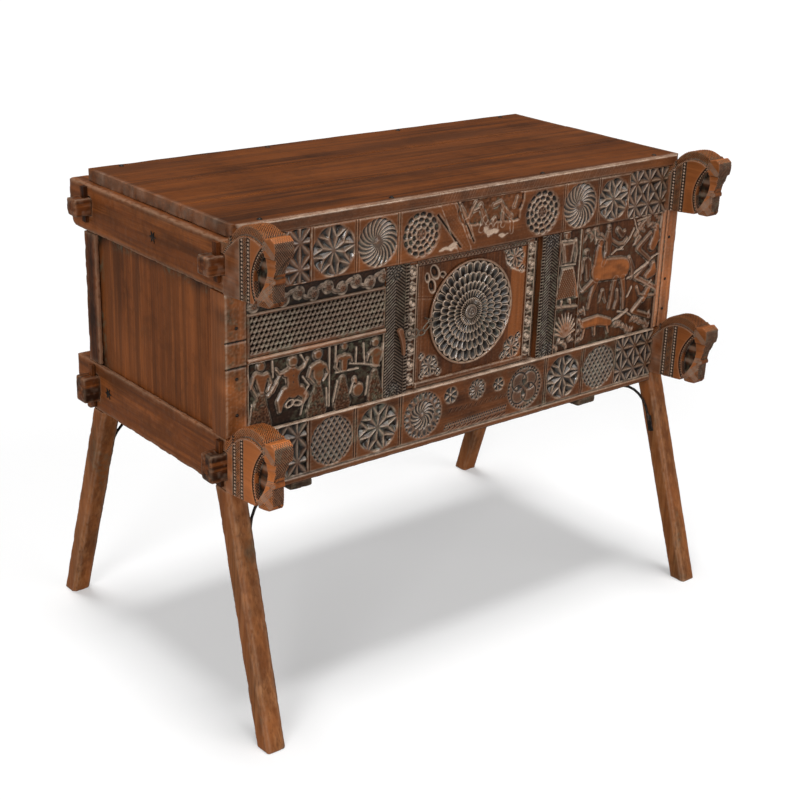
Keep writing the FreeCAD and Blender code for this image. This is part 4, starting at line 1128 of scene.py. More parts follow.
def rider_face():
    """A horse and rider, a small figure before them and bent figures behind, an animal and leaves below."""
    face = face_of("rider_board", 0.9)
    ground = 4.6
    inner = face.window(face.u0 + 2, face.u1 - 5, face.v0 + 5, face.v1 - 2)
    face.h[inner] = -ground
    stipple(face, inner, ground, 3.0, 1.5)
    body = limbs(((336, 712, 25), (346, 712, 26), (396, 708, 25), (404, 706, 25)),
                 ((333, 730, 16), (331, 752, 11), (335, 770, 8)))
    stand(face, body, ground, 5.0, 0.0, 1.0)
    area = face.window(306, 432, 676, 745)
    hatched(face, area, body(face.u[area], face.v[area]) + 5, 4.0, 0.3)
    stand(face, limbs(((337, 771, 9), (324, 778, 5)), ((424, 724, 6), (437, 700, 7), (436, 680, 4))), ground,
          3.0, 0.6, 0.0)
    stand(face, limbs(((322, 692, 7), (306, 682, 6), (291, 674, 5)),
                      ((330, 688, 8), (318, 660, 6), (313, 636, 5)),
                      ((386, 686, 8), (380, 652, 6), (375, 626, 5)),
                      ((408, 684, 9), (416, 652, 6.5), (417, 618, 5))),
          ground, 3.0, 0.4, 0.35)
    stand(face, limbs(((358, 744, 8), (358, 772, 11), (357, 790, 7)),
                      ((364, 772, 5), (388, 758, 5), (402, 758, 4.5), (412, 768, 4)),
                      ((350, 774, 5), (336, 786, 4.5)), ((356, 752, 6), (344, 724, 5))), ground, 3.0, 0.3,
          0.25)
    stand(face, limbs(((357, 799, 7), (357, 798, 7)), ((384, 790, 7), (396, 778, 8), (404, 784, 5))), ground,
          polish=0.1)
    stand(face, limbs(((297, 756, 8), (297, 755, 8)), ((298, 742, 8), (302, 722, 8), (304, 700, 6)),
                      ((290, 742, 4), (288, 716, 4)),
                      ((308, 738, 4), (312, 720, 3.6))), ground, polish=0.1)
    for torso, limb_points in ((((500, 782, 8), (500, 756, 13), (492, 740, 12)),
                                ((484, 768, 6), (448, 741, 6.5), (486, 712, 6))),
                               (((500, 700, 8), (500, 684, 13), (484, 676, 9)),
                                ((484, 704, 5), (448, 679, 6), (512, 646, 7))),
                               (((494, 652, 7), (484, 636, 9), (478, 626, 8)),
                                ((474, 626, 7), (450, 604, 7), (502, 584, 7)))):
        stand(face, limbs(torso), ground, 3.6, 0.2, 0.85)
        stand(face, limbs(limb_points), ground, 3.0, 0.8, 0.15)
    stand(face, limbs(((456, 656, 4), (464, 640, 4), (484, 632, 4), (512, 630, 4)),
                      ((438, 770, 5), (452, 788, 6), (470, 800, 6)),
                      ((440, 752, 5), (452, 764, 5)), ((400, 596, 4), (432, 610, 4))), ground, 2.4, 0.8, 0.0)
    stand(face, limbs(((302, 603, 11), (342, 604, 13), (378, 594, 10)), ((296, 606, 7), (288, 614, 5)),
                      ((306, 592, 5), (302, 574, 4)),
                      ((336, 592, 5), (338, 574, 4)), ((372, 588, 5), (378, 572, 4))), ground, 3.2, 0.3, 0.95)
    stand(face, limbs(((344, 644, 3), (352, 664, 7)), ((352, 664, 6), (364, 640, 3)),
                      ((392, 622, 5), (400, 640, 6), (396, 660, 4))),
          ground, 2.4, 0.8, 0.1)
    for points in (((396, 748), (420, 766), (432, 786)), ((370, 740), (384, 748), (404, 746)),
                   ((486, 712), (516, 722)), ((448, 676), (470, 666), (512, 642)),
                   ((446, 606), (462, 618), (476, 632)), ((404, 612), (430, 606), (446, 596)),
                   ((282, 690), (292, 676)), ((284, 740), (286, 700)), ((440, 800), (480, 806)),
                   ((500, 664), (478, 656)), ((424, 680), (470, 700), (498, 716)), ((316, 800), (322, 770)),
                   ((428, 640), (440, 660)), ((430, 806), (446, 770), (434, 750)), ((300, 640), (306, 622)),
                   ((512, 800), (510, 776)), ((388, 594), (420, 606))):
        ridge_line(face, points, ground, 1.7)
    foliage(face, 284, 300, 560, 640, ground, 3)
    foliage(face, 396, 505, 560, 590, ground, 5)
    foliage(face, 444, 508, 776, 806, ground, 9)
    foliage(face, 286, 330, 784, 806, ground, 2)
    plain_ground(face, 0.15, 0.5)
    for x in (507, 512):
        face.groove((x, face.v0), (x, face.v1), 1.6, 2.0)
    face.bare *= 0.55
    face.polish *= 0.8 * (0.5 + 0.8 * grain_noise(face.u / 14, face.v / 7, seed=23))
    face.pale = 0.7
    return face


def door_face_relief():
    """The door's board: leaves, stars and flowers in the corners, and an arc at the top right."""
    face = face_of("door_board", 1.0)
    plain_ground(face, 0.35, 0.2)
    face.polish = np.where(face.u > 96, 0.6, face.polish)
    face.groove((-139, face.v0), (-139, face.v1), 2.4, 2.4)
    face.groove((-129, face.v0), (-129, face.v1), 1.6, 1.6)
    for x, z, rx, rz, turn in ((-98, 778, 9, 15, 0.5), (-104, 752, 8, 14, 0.3), (-78, 770, 5, 8, 1.0),
                               (-116, 770, 5, 9, 0.2)):
        area = face.window(x - 20, x + 20, z - 20, z + 20)
        leaf = oval(face.u[area], face.v[area], x, z, rx, rz, turn)
        face.cut(4.0 * ease(-leaf / 4), area)
        face.paled(np.clip(1 - np.abs(leaf) / 1.6, 0, 1) * 0.7, area)
    for x, z, n, r in ((104, 776, 7, 24), (-104, 596, 7, 21), (108, 592, 7, 23)):
        face.roundel(x, z, r, petal_star(n, 4.4, 0.4), 1.4)
    for x, z, r in ((-124, 618, 7), (-82, 580, 8), (124, 612, 8), (84, 578, 8), (124, 750, 8), (80, 794, 7),
                    (-122, 580, 7)):
        face.roundel(x, z, r, small_flower(4, 3.4))
    from_corner = np.hypot(face.u - 134, face.v - 806)
    face.paled(np.clip(1 - np.abs(from_corner - 62) / 2.6, 0, 1) * (face.u > 78) * 0.9)
    face.cut(1.6 * np.clip(1 - np.abs(from_corner - 58) / 2, 0, 1) * (face.u > 78))
    face.groove((-139, 735), (-96, 728), 1.8, 1.6)
    return face


def stud_strip(node):
    """A narrow strip of scroll-shaped studs, each with two curled lobes."""
    face = face_of(node, 0.8)
    middle = (face.u0 + face.u1) / 2
    ground = 3.4
    face.h[:] = -0.3
    inner = face.window(face.u0 + 2.5, face.u1 - 2.5, face.v0, face.v1)
    face.h[inner] = -ground
    count = max(1, round((face.v1 - face.v0) / 28))
    pitch = (face.v1 - face.v0) / count
    for k in range(count):
        z = face.v0 + (k + 0.5) * pitch
        area = face.window(face.u0, face.u1, z - pitch / 2, z + pitch / 2)
        u, v = face.u[area], face.v[area]
        lobes = np.minimum(oval(u, v, middle - 3.5, z + 3, 5.4, 4.4, 0.5),
                           oval(u, v, middle + 3.5, z - 2, 5.4, 4.4, 0.5))
        tail = limb(u, v, [(middle - 7, z + 9), (middle, z + 11), (middle + 7, z + 7)], [1.0, 1.8, 1.0])
        foot = limb(u, v, [(middle - 7, z - 8), (middle, z - 11), (middle + 7, z - 9)], [1.0, 1.8, 1.0])
        face.raised(np.minimum(lobes, np.minimum(tail, foot)), area, ground, 2.0, 0.2)
        # Pale tops on the lobes: painted highlight
        face.paled(0.75 * ease(-lobes / 2.5), area)
        face.roundel(middle - 3.5, z + 3, 1.7, pit(2.6), 0.5)
        face.roundel(middle + 3.5, z - 2, 1.7, pit(2.6), 0.5)
    return face


def band_face():
    """The band over the door, with a zigzag cut along it."""
    face = face_of("door_top_band", 0.8)
    wave = zigzag(face.u / 8.4)
    middle, half = (face.v0 + face.v1) / 2, (face.v1 - face.v0) / 2 - 1.5
    distance = np.abs(face.v - (middle + (wave * 2 - 1) * half * 0.6))
    face.cut(2.0 * np.clip(1 - distance / 1.6, 0, 1))
    face.groove((face.u0, face.v0 + 1), (face.u1, face.v0 + 1), 1.4, 1.2)
    return face


def post_face(node):
    """A post with old scratches: two cuts cross the left one, and one groove runs up the right one."""
    face = face_of(node, 1.6)
    plain_ground(face, 0.8, 0.8)
    if node.endswith("left"):
        for z in (729, 682):
            face.groove((face.u0, z), (face.u1, z), 3.0, 2.6)
    else:
        face.groove((face.u0 + 11, face.v0), (face.u0 + 11, face.v1), 4.0, 2.6)
    for k in range(9):
        z = face.v0 + 18 + 26 * k
        x = face.u0 + 6 + (k * 17) % 26
        face.groove((x, z), (x + 9, z + 15), 1.3, 0.5)
    return face


def divider_face():
    """The thin rail between two panels, pale along its upper edge."""
    face = face_of("panel_divider", 1.2)
    plain_ground(face, 0.7, 0.5)
    face.bare = 0.5 * grain_noise(face.u / 14, face.v / 3, seed=4) * (face.v > face.v1 - 2.5)
    return face


# The door's rosette, on a round grid
def rosette_piece(node, material):
    """Five rings of cupped petals round a ridged boss."""
    lo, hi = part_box(node)
    cx, cz, radius = (lo.x + hi.x) / 2, (lo.z + hi.z) / 2, (hi.x - lo.x) / 2 / MM
    rings, turns = 168, 760
    r = np.linspace(0.01, 1.0, rings)[:, None]
    a = np.linspace(0, 2 * math.pi, turns, endpoint=False)[None, :]
    h = np.full((rings, turns), 1.2)
    bare = np.zeros_like(h)
    edges = (0.14, 0.27, 0.42, 0.585, 0.76, 0.955)
    inner, outer, petals = edges[0], edges[-1], 32
    for k, (r0, r1) in enumerate(zip(edges, edges[1:])):
        width = r1 - r0
        t = (r - r0) / width
        across = zigzag(a * petals / (2 * math.pi) + 0.5 * (k % 2))
        end = 1.04 - 0.34 * across ** 2.2
        inside = (t > -0.02) & (t <= 1.02)
        rim = np.clip(1 - np.abs(np.maximum(across * 0.98, 1 - (end - t) * 1.5) - 0.76) / 0.22, 0, 1)
        cup = np.clip(1 - across / 0.6, 0, 1) * ease(1.2 - t)
        petal = 1.9 + 2.3 * np.clip(t, 0, 1) + 0.9 * rim - 1.3 * cup
        body = ease((end - t) / 0.08) * ease((0.98 - across) / 0.12)
        ring = 0.9 + (petal - 0.9) * body
        h = np.where(inside, ring, h)
        bare = np.where(inside, 0.4 * rim * body * ease((t - 0.3) / 0.4), bare)
    boss = r < inner
    dome = 4.4 + 2.2 * (1 - (r / inner) ** 2) + 0.7 * np.cos(r / inner * 2 * math.pi * 2.5)
    h = np.where(boss, dome + 0.3 * np.cos(a * 24) * (r > 0.06), h)
    edge = r >= outer
    rounding, step_in = np.clip((r - 0.985) / 0.015, 0, 1) ** 2, ease((outer + 0.012 - r) / 0.012)
    h = np.where(edge, 5.9 - 2.6 * rounding - 1.6 * step_in, h)
    h = h - 0.5 * grain_noise(r * radius * np.cos(a) / 9 + 40, r * radius * np.sin(a) / 9 + 40, seed=3)
    smooth_h = h.copy()
    for _ in range(5):
        p = np.pad(smooth_h, ((1, 1), (0, 0)), mode="edge")
        smooth_h = (p[:-2] + 2 * p[1:-1] + p[2:]) / 4
        smooth_h = (np.roll(smooth_h, 1, 1) + 2 * smooth_h + np.roll(smooth_h, -1, 1)) / 4
    x = cx + r * radius * np.cos(a) * MM
    z = cz + r * radius * np.sin(a) * MM
    y = hi.y - np.clip(h, 0.3, (hi.y - lo.y) / MM) * MM
    verts = np.stack([x, y, z], -1).reshape(-1, 3)
    index = np.arange(rings * turns).reshape(rings, turns)
    after = np.roll(index, -1, 1)
    quads = np.stack([index[:-1], after[:-1], after[1:], index[1:]], -1).reshape(-1, 4).tolist()
    back_ring = np.stack([x[-1], np.full(turns, hi.y), z[-1]], -1)
    start = len(verts)
    loop = np.arange(turns)
    loop_after = np.roll(loop, -1)
    quads += np.stack([index[-1], after[-1], start + loop_after, start + loop], -1).tolist()
    quads.append(list(range(start, start + turns)))
    quads.append(index[0][::-1].tolist())
    pad = np.zeros(turns)
    # Painted shade that deepens with the cut, painted highlight on raised rims, and pale rims that are partly
    # painted glints
    tones = {"cavity": np.concatenate([np.clip((3.9 - h) / 3.2, 0, 1).ravel(), pad + 0.4]),
             "ridge": np.concatenate([np.clip((h - smooth_h) / 0.8, 0, 1).ravel(), pad]),
             "dust": np.concatenate([np.broadcast_to(np.where(edge, 0.2, 0.64), h.shape).ravel(), pad]),
             "polish": np.concatenate([np.broadcast_to(np.where(edge, 0.3, 0.0), h.shape).ravel(), pad]),
             "bare": np.concatenate([bare.ravel(), pad])}
    piece = mesh_object(node + "_carved", np.concatenate([verts, back_ring]).tolist(), quads, tones)
    outward(piece)
    return dressed(piece, material, DOOR, "rubbed_wood", node)


# Horse heads, laid out by the distance forward of the front plane and the share of the rail's height
# Places on the head, in shares of its reach and of the rail's height
MANE_EDGE = ((0.10, 0.985), (0.42, 1.25), (0.76, 1.17))
CHEEK_HOLLOW = ((0.78, 1.08), (0.60, 0.62), (0.645, 0.20))


def arc_samples(points, count=14):
    """Places along the smooth curve through three points."""
    t = np.linspace(0, 1, count)[:, None]
    a, b, c = (np.array(p, float) for p in points)
    return (2 * (t - 0.5) * (t - 1)) * a - 4 * t * (t - 1) * b + 2 * t * (t - 0.5) * c


def head_depth(forward, share, height, beads, reach):
    """Depth of the cuts on a head's side in millimetres, where it is polished, and where it is pale: worn,
    and partly painted highlight.
    """
    z = share * height
    first, second = beads
    depth = np.zeros_like(forward)
    polish = 0.55 + 0.3 * grain_noise(forward / 30, z / 30, seed=6)
    bare = np.zeros_like(forward)
    mane = np.array(MANE_EDGE)
    fit = np.polyfit(mane[:, 0], mane[:, 1], 2)
    above = (share - np.polyval(fit, forward / reach)) * height
    neck = above < -3
    column = neck & (forward > first - 4.5) & (forward < second + 4.5)
    weave = crossing(forward, z, 4.2)
    depth = np.where(column, 0.15 + 1.0 * np.clip(1 - 2.6 * weave, 0, 1), depth)
    polish = np.where(column, 0.4, polish)
    for at in (first, second):
        across = np.abs(forward - at)
        along = (((z + (3.2 if at == second else 0)) / 6.4) % 1.0 - 0.5) * 6.4
        bead = np.sqrt(np.clip(1 - (across ** 2 + along ** 2) / 2.7 ** 2, 0, 1))
        near = neck & (across < 3.6)
        depth = np.where(near, 1.9 - 1.9 * bead, depth)
        bare = np.where(near, 0.85 * bead, bare)
    for at in (first - 5.2, second + 5.2):
        depth = np.maximum(depth, np.where(neck, 1.5 * np.clip(1 - np.abs(forward - at) / 1.3, 0, 1), 0))
    behind = neck & (forward < first - 5)
    bare = np.where(behind, 0.22 * grain_noise(forward / 12, z / 16, seed=15), bare)
    polish = np.where(behind, 0.25, polish)
    # The dotted edge of the hollow behind the cheek
    hollow = arc_samples(CHEEK_HOLLOW) * (reach, height)
    far = limb(forward, z, hollow.tolist(), [0.0] * len(hollow))
    dots = np.clip(1 - np.hypot((far - 4.6) / 2.0, ((z / 5.0) % 1.0 - 0.5) * 2.2), 0, 1)
    left_of = forward < np.interp(z, hollow[::-1, 1], hollow[::-1, 0])
    rim = left_of & (far < 8) & neck
    depth = np.where(rim & (far > 2.4), np.maximum(depth, 1.3 - 1.5 * dots), depth)
    bare = np.where(rim & (far > 2.4), 0.7 * dots, bare)
    depth = np.maximum(depth, np.where(left_of & neck, 1.0 * np.clip(1 - np.abs(far - 8.2) / 1.1, 0, 1), 0))
    # The mane and its rope edge
    cross = crossing(forward, z * 0.8, 4.4)
    inside = (above > 2.5) & (forward < 0.8 * reach)
    depth = np.where(inside, 0.9 * np.clip(1 - 2.4 * cross, 0, 1), depth)
    polish = np.where(inside, 0.6, polish)
    rope = (np.abs(above) < 2.6) & (forward < 0.8 * reach)
    twist = zigzag((forward + above) / 3.4)
    depth = np.where(rope, 0.2 + 1.0 * twist, depth)
    bare = np.where(rope, 0.5 * (1 - twist), bare)
    # The cheek and muzzle: fine hatching under two crossing double lines
    muzzle = (forward > 0.83 * reach) & (share < 0.62) | (forward > 0.66 * reach) & (share < 0.2)
    depth = np.where(muzzle, np.maximum(depth, 0.7 * np.clip(1 - 2.0 * weave, 0, 1)), depth)
    polish = np.where(muzzle, 0.45, polish)
    for a, b in (((88, 0.10), (128, 0.55)), ((92, 0.50), (124, 0.08)), ((100, 0.60), (130, 0.60)),
                 ((112, 1.22), (136, 1.02))):
        ends = ((p[0] * reach / 140, p[1] * height) for p in (a, b))
        distance, _ = to_segment(forward, z, *ends)
        for shift in (1.5, 4.2):
            line = np.clip(1 - np.abs(distance - shift) / 1.0, 0, 1)
            depth = np.maximum(depth, 1.0 * line)
            bare = np.maximum(bare, 0.55 * line)
    return depth, np.clip(polish, 0, 1), np.clip(bare, 0, 1)


def head_piece(node, bottom, height, beads, reach, shine, voxel, material):
    """The horse head of a side rail, with its bands of beads at two distances forward of the front plane."""
    front = low("front_rail_top").y
    bm = kept(cad_mesh(node), 1, front + 0.008, -1)
    piece = remeshed(node + "_head", bm, voxel)
    set_points(piece, evened(piece, points_of(piece), 7))
    co, n = points_of(piece), normals_of(piece)
    forward, share = (front - co[:, 1]) / MM, (co[:, 2] - bottom) / height
    depth, polish, bare = head_depth(forward, share, height / MM, beads, reach)
    middle = (co[:, 0].min() + co[:, 0].max()) / 2
    across = np.abs(co[:, 0] - middle) / MM
    side = ease((np.abs(n[:, 0]) - 0.6) / 0.25)
    recessed = (across < 15) & (forward > 0.43 * reach)
    side = np.where(recessed, 0, side)
    x, z = (co[:, 0] - middle) / MM, co[:, 2] / MM
    face = ease((-n[:, 1] - 0.35) / 0.3)
    lattice = crossing(x, z, 5.0)
    patch = (share > 0.7) | ((share > 0.18) & (share < 0.5))
    lines = np.clip(1 - 2.0 * lattice, 0, 1) * patch
    for a, b in (((-14, 0.66), (12, 0.98)), ((14, 0.2), (-10, 0.5)), ((-13, 0.3), (8, 0.12))):
        stroke, _ = to_segment(x, share * height / MM, (a[0], a[1] * height / MM), (b[0], b[1] * height / MM))
        lines = np.maximum(lines, np.clip(1 - np.abs(stroke - 1.6) / 1.0, 0, 1))
    top = ease((n[:, 2] - 0.35) / 0.2) * (share > 0.9) * ease((0.82 * reach - forward) / 4)
    brow = ease((n[:, 2] - 0.3) / 0.25) * (share > 0.75) * ease((forward - 0.8 * reach) / 4)
    mane = np.clip(1 - 1.8 * crossing(x, forward, 4.6), 0, 1) * top
    total = depth * side + 1.1 * lines * face + 1.2 * mane
    # Painted shade in the cut lines and the mane's hatching, and a little darker on the faces turned to the
    # front
    dark = 0.5 * np.clip((depth * side + 1.1 * lines * face) / 1.3, 0, 1) + 0.25 * mane + 0.1 * face
    co = co - n * (total * MM)[:, None]
    low_share = ease((0.9 - share) / 0.12)
    tapered = 0.14 + 0.3 * low_share + 0.12 * ease((0.36 - share) / 0.3)
    narrow = ease((forward - 0.68 * reach) / (0.3 * reach)) * tapered
    co[:, 0] = middle + (co[:, 0] - middle) * (1 - narrow)
    set_points(piece, co)
    roughened(piece, 0.35, 21, nicks=0.7)
    # The cupped hollow beside the muzzle gets painted shade, with pale chips
    chips = zigzag(share * 3.4 + 0.2)
    cupped = recessed & (np.abs(n[:, 0]) > 0.5)
    extra = {"cavity": dark + np.where(cupped, 0.2 + 0.3 * (1 - chips), 0),
             "polish": shine * ~cupped * np.maximum(np.where(face > 0.4, 0.3, polish),
                                                    0.95 * brow + 0.8 * top),
             "ridge": -0.7 * np.maximum(np.maximum(top, brow), 0.55 * face),
             "bare": (bare * side * 0.9 + 0.14 * (1 - lines) * patch * face
                      + np.where(cupped, 0.22 * ease(chips * 2.4 - 1.2), 0))}
    tone_by_shape(piece, 0.9, extra)
    return dressed(piece, material, CARCASS, "carved_wood", node)


def shaft_piece(node, voxel, material, seed, shine):
    """The plain part of a side rail, from behind its head to the back."""
    behind_head = [(1, low("front_rail_top").y + 0.0065, 1)]
    piece = aged(node, "shaft", material, "carved_wood", voxel, soften=2, wobble=0.9, seed=seed, nicks=1.4,
                 cuts=behind_head)
    set_tone(piece, "polish", shine)


# Settings that a person may change in the sidebar
def distance(name, description, default):
    return FloatProperty(name=name, description=description, default=default, precision=4, min=0.0,
                         subtype="DISTANCE", unit="LENGTH")


def strength(name, description, default):
    return FloatProperty(name=name, description=description, default=default, min=0.0)


def colour(name, description, default):
    return FloatVectorProperty(name=name, description=description, default=default, size=4, min=0.0, max=1.0,
                               subtype="COLOR")


class TrunkSizes(bpy.types.PropertyGroup):
    upper_rail_height: distance("Upper side rail height", "Height of the two upper side rails", 0.092)
    lower_rail_height: distance("Lower side rail height", "Height of the two lower side rails", 0.099)
    head_grain: distance("Head detail", "Size of the facets on the horse heads", 0.001)
    timber_grain: distance("Timber detail", "Size of the facets on rails and legs", 0.0028)
    arris: distance("Worn edge", "Radius of the worn edges of the planks", 0.0016)
    key_light: strength("Key light", "Strength of the lamp at the left", 1.6)
    top_light: strength("Top light", "Strength of the soft lamp overhead", 2.1)
    fill_light: strength("Fill light", "Strength of the wide soft lamp in front", 0.95)
    room_light: strength("Room light", "Strength of the light from all round", 0.13)
    floor_glow: FloatProperty(name="Floor glow",
                              description="How much of the floor's white is plain backdrop",
                              default=0.3, subtype="FACTOR", min=0.0, max=1.0)


class TrunkColours(bpy.types.PropertyGroup):
    floor: colour("Floor", "Colour of the studio floor", WHITE)
    floor_bounce: colour("Floor bounce", "Colour of the light the floor throws back", (0.34, 0.33, 0.32, 1.0))


for kind, (label, *grains) in WOODS.items():
    for tone, value in zip(GRAIN_TONES, grains):
        TrunkColours.__annotations__[f"{kind}_{tone}"] = colour(
            f"{label}, {tone}", f"The {tone} parts of the grain", rgb(value))
# Some of these colours are painted light: the shade in hollows and the highlights on edges and rubbed iron
for key, (label, value) in AGEING.items():
    TrunkColours.__annotations__[key] = colour(label, "A colour that age, the forge or painted light gives", rgb(value))


def choices(context):
    return context.scene.trunk_sizes, context.scene.trunk_colours


class TRUNK_OT_side_rails(bpy.types.Operator):
    """Carve the four side rails with their horse heads"""
    bl_idname = "trunk.side_rails"
    bl_label = "Side rails and horse heads"

    def execute(self, context):
        sizes, _ = choices(context)
        upper, lower = high("post_front_left").z, low("post_front_left").z - sizes.lower_rail_height
        for k, (node, bottom, height, beads, shine) in enumerate((
                ("side_rail_upper_left", upper, sizes.upper_rail_height, (47, 66), 0.95),
                ("side_rail_lower_left", lower, sizes.lower_rail_height, (20, 42), 1.0),
                ("side_rail_upper_right", upper, sizes.upper_rail_height, (12, 37), 0.9),
                ("side_rail_lower_right", lower, sizes.lower_rail_height, (33, 57), 0.75))):
            reach = (low("front_rail_top").y - low(node).y) / MM
            # The lower-left head gets the lighter rubbed wood, partly painted light
            skin = wood("rubbed" if node == "side_rail_lower_left" else "warm", "y")
            head_piece(node, bottom, height, beads, reach, shine, sizes.head_grain, skin)
            shaft_piece(node, sizes.timber_grain, wood("timber", "y"), 40 + 7 * k, 0.25 * shine)
        return {"FINISHED"}


class TRUNK_OT_long_rails(bpy.types.Operator):
    """Carve the front rails and age the back rails, with their tenon ends"""
    bl_idname = "trunk.long_rails"
    bl_label = "Long rails"

    def execute(self, context):
        carved, plain = wood("carved", "x"), wood("timber", "x")
        hung("front_rail_top", top_rail_face(), carved, wear=0.3)
        hung("front_rail_bottom", bottom_rail_face(), carved, wear=0.3)
        inside, outside = high("post_front_left").x, high("side_rail_upper_right").x - 0.004
        for k, node in enumerate(("front_rail_top", "front_rail_bottom", "back_rail_top",
                                  "back_rail_bottom")):
            start = abs(inside) if node.startswith("front") else outside
            for side, end in ((-1, "left"), (1, "right")):
                piece = aged(node, f"tenon_{end}", plain, "carved_wood", voxel=0.0016, soften=3, wobble=0.8,
                             seed=60 + k, nicks=2.2, cuts=[(0, side * start, side)])
                set_tone(piece, "bare", 0.14 * ease(noise_at(points_of(piece), 0.006, 4) * 2 - 0.9))
        for node in ("back_rail_top", "back_rail_bottom"):
            aged(node, "beam", plain, "carved_wood", voxel=0.0045, soften=1, wobble=0.8, seed=71, nicks=0.6,
                 cuts=[(0, -outside, 1), (0, outside, -1)])
        recoated("tenon_wedges", wood("timber", "z"))
        return {"FINISHED"}


class TRUNK_OT_front_panels(bpy.types.Operator):
    """Carve the boards, stiles and posts of the front"""
    bl_idname = "trunk.front_panels"
    bl_label = "Front panels"

    def execute(self, context):
        finish, upright = wood("carved", "x"), wood("carved", "z")
        hung("lattice_board", lattice_face(), finish)
        hung("panel_divider", divider_face(), finish)
        hung("figure_board", figure_face(), finish, soften=2)
        hung("niche_board", niche_face(), upright, soften=2)
        hung("rider_board", rider_face(), upright, soften=2)
        hung("stile_left", stile_face("stile_left", True), upright)
        hung("stile_right", stile_face("stile_right", False), upright)
        for node in ("post_front_left", "post_front_right"):
            face = post_face(node)
            if node.endswith("right"):
                face.polish = 0.1 + 0.5 * grain_noise(face.u / 20, face.v / 60, seed=5)
                face.paled(0.06)
                skin = wood("rubbed", "z")
            else:
                skin = wood("warm", "z")
                face.polish *= 1.3
                face.grime = 0.2 * ease(grain_noise(face.u / 24, face.v / 30, seed=8) * 3 - 1.2)
                face.dust = 0.1 * ease((face.v - face.v1 + 150) / 60)
                face.dust = face.dust * grain_noise(face.u / 12, face.v / 12, seed=4)
            hung(node, face, skin, wear=0.6)
        return {"FINISHED"}


class TRUNK_OT_door(bpy.types.Operator):
    """Carve the door with its strips, band, ledge and rosette"""
    bl_idname = "trunk.door"
    bl_label = "Door"

    def execute(self, context):
        upright = wood("carved", "z")
        hung("door_board", door_face_relief(), upright, DOOR)
        hung("door_strip_left", stud_strip("door_strip_left"), upright, DOOR, depth=3.4)
        hung("door_strip_right", stud_strip("door_strip_right"), upright, DOOR, depth=3.4)
        hung("door_top_band", band_face(), wood("carved", "x"), DOOR, depth=2.4, edge=0.8)
        ledge = face_of("door_ledge", 1.2)
        plain_ground(ledge, 0.4, 0.4)
        hung("door_ledge", ledge, wood("carved", "x"), DOOR, depth=2.4)
        rosette_piece("door_rosette", upright)
        aged("door_hinge_stile", "worn", upright, "carved_wood", voxel=0.002, soften=2, wobble=0.3, seed=90,
             nicks=0.4, body=DOOR)
        return {"FINISHED"}


class TRUNK_OT_lid(bpy.types.Operator):
    """Lay the lid planks with their worn edges and notched front edge"""
    bl_idname = "trunk.lid"
    bl_label = "Lid"

    def execute(self, context):
        sizes, _ = choices(context)
        finish = wood("lid", "x")
        for k, node in enumerate(("lid_plank_1", "lid_plank_2", "lid_plank_3")):
            lo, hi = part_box(node)
            inset = 0.0012 if k == 0 else 0.0
            piece = rounded_board(node + "_worn", (lo.x, lo.y + inset, lo.z), hi, sizes.arris, step=0.009,
                                  wobble=0.0007, seed=5 + k, nicks=0.0024)
            co = points_of(piece)
            if k == 0:  # The front plank's two corners are rounded off
                for side, bend in ((-1, 0.02), (1, 0.006)):
                    cx, cy = (lo.x + bend if side < 0 else hi.x - bend), lo.y + inset + bend
                    away = np.hypot(co[:, 0] - cx, co[:, 1] - cy)
                    cut_off = (side * (co[:, 0] - cx) > 0) & (co[:, 1] < cy) & (away > bend)
                    pull = np.where(cut_off, bend / np.maximum(away, 1e-9), 1.0)
                    co[:, 0] = cx + (co[:, 0] - cx) * pull
                    co[:, 1] = cy + (co[:, 1] - cy) * pull
                set_points(piece, co)
            end = ease((lo.x + 0.006 - co[:, 0]) / 0.005) + ease((co[:, 0] - hi.x + 0.006) / 0.005)
            # The pale line along the front plank's top edge is partly worn wood, partly painted highlight
            rim = ease((lo.y + inset + 0.006 - co[:, 1]) / 0.005) * (k == 0)
            rim = rim * ease((co[:, 2] - hi.z + 0.008) / 0.006)
            rough = noise_at(co, 0.012, 8)
            set_tone(piece, "bare", np.clip(0.3 * end * rough + 0.7 * rim * (0.2 + 0.8 * rough), 0, 1))
            worn = ease(grain_noise(co[:, 0] / 0.16, co[:, 1] / 0.09, seed=70) * 2.4 - 0.8)
            set_tone(piece, "polish", 0.12 * worn * (co[:, 2] > hi.z - 0.003))
            dressed(piece, finish, CARCASS, "lid_wood", node)
        self.front_edge(wood("carved", "x"))
        for node in ("lid_batten_left", "lid_batten_right"):
            recoated(node, wood("board", "y"))
        return {"FINISHED"}

    def front_edge(self, finish):
        """The pale front edge, with slanted cuts along part of it."""
        lo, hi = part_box("lid_plank_1")
        face = Relief(lo.x / MM + 20, hi.x / MM - 6, lo.z / MM, hi.z / MM - 1.5, 1.1)
        plain_ground(face, 0.3, 0.6)
        for x in np.arange(-110, 380, 9.0):
            jitter = 3 * math.sin(x * 12.9898)
            face.groove((x + jitter, face.v0 + 4), (x + jitter + 8, face.v1 - 2), 1.6, 0.9)
        # The pale top of the front edge is partly worn wood, partly painted highlight
        top = face.v > face.v1 - 3
        face.bare = np.where(top, 0.1 + 0.7 * grain_noise(face.u / 22, face.v / 4, seed=9), 0.03)
        h = finished_height(face, 0.3, edge=1.6)
        piece = carved_slab("lid_front_edge", face, h, lo.y, lo.y + 0.006, 4.0)
        dressed(piece, finish, CARCASS, "lid_wood", "lid_plank_1")


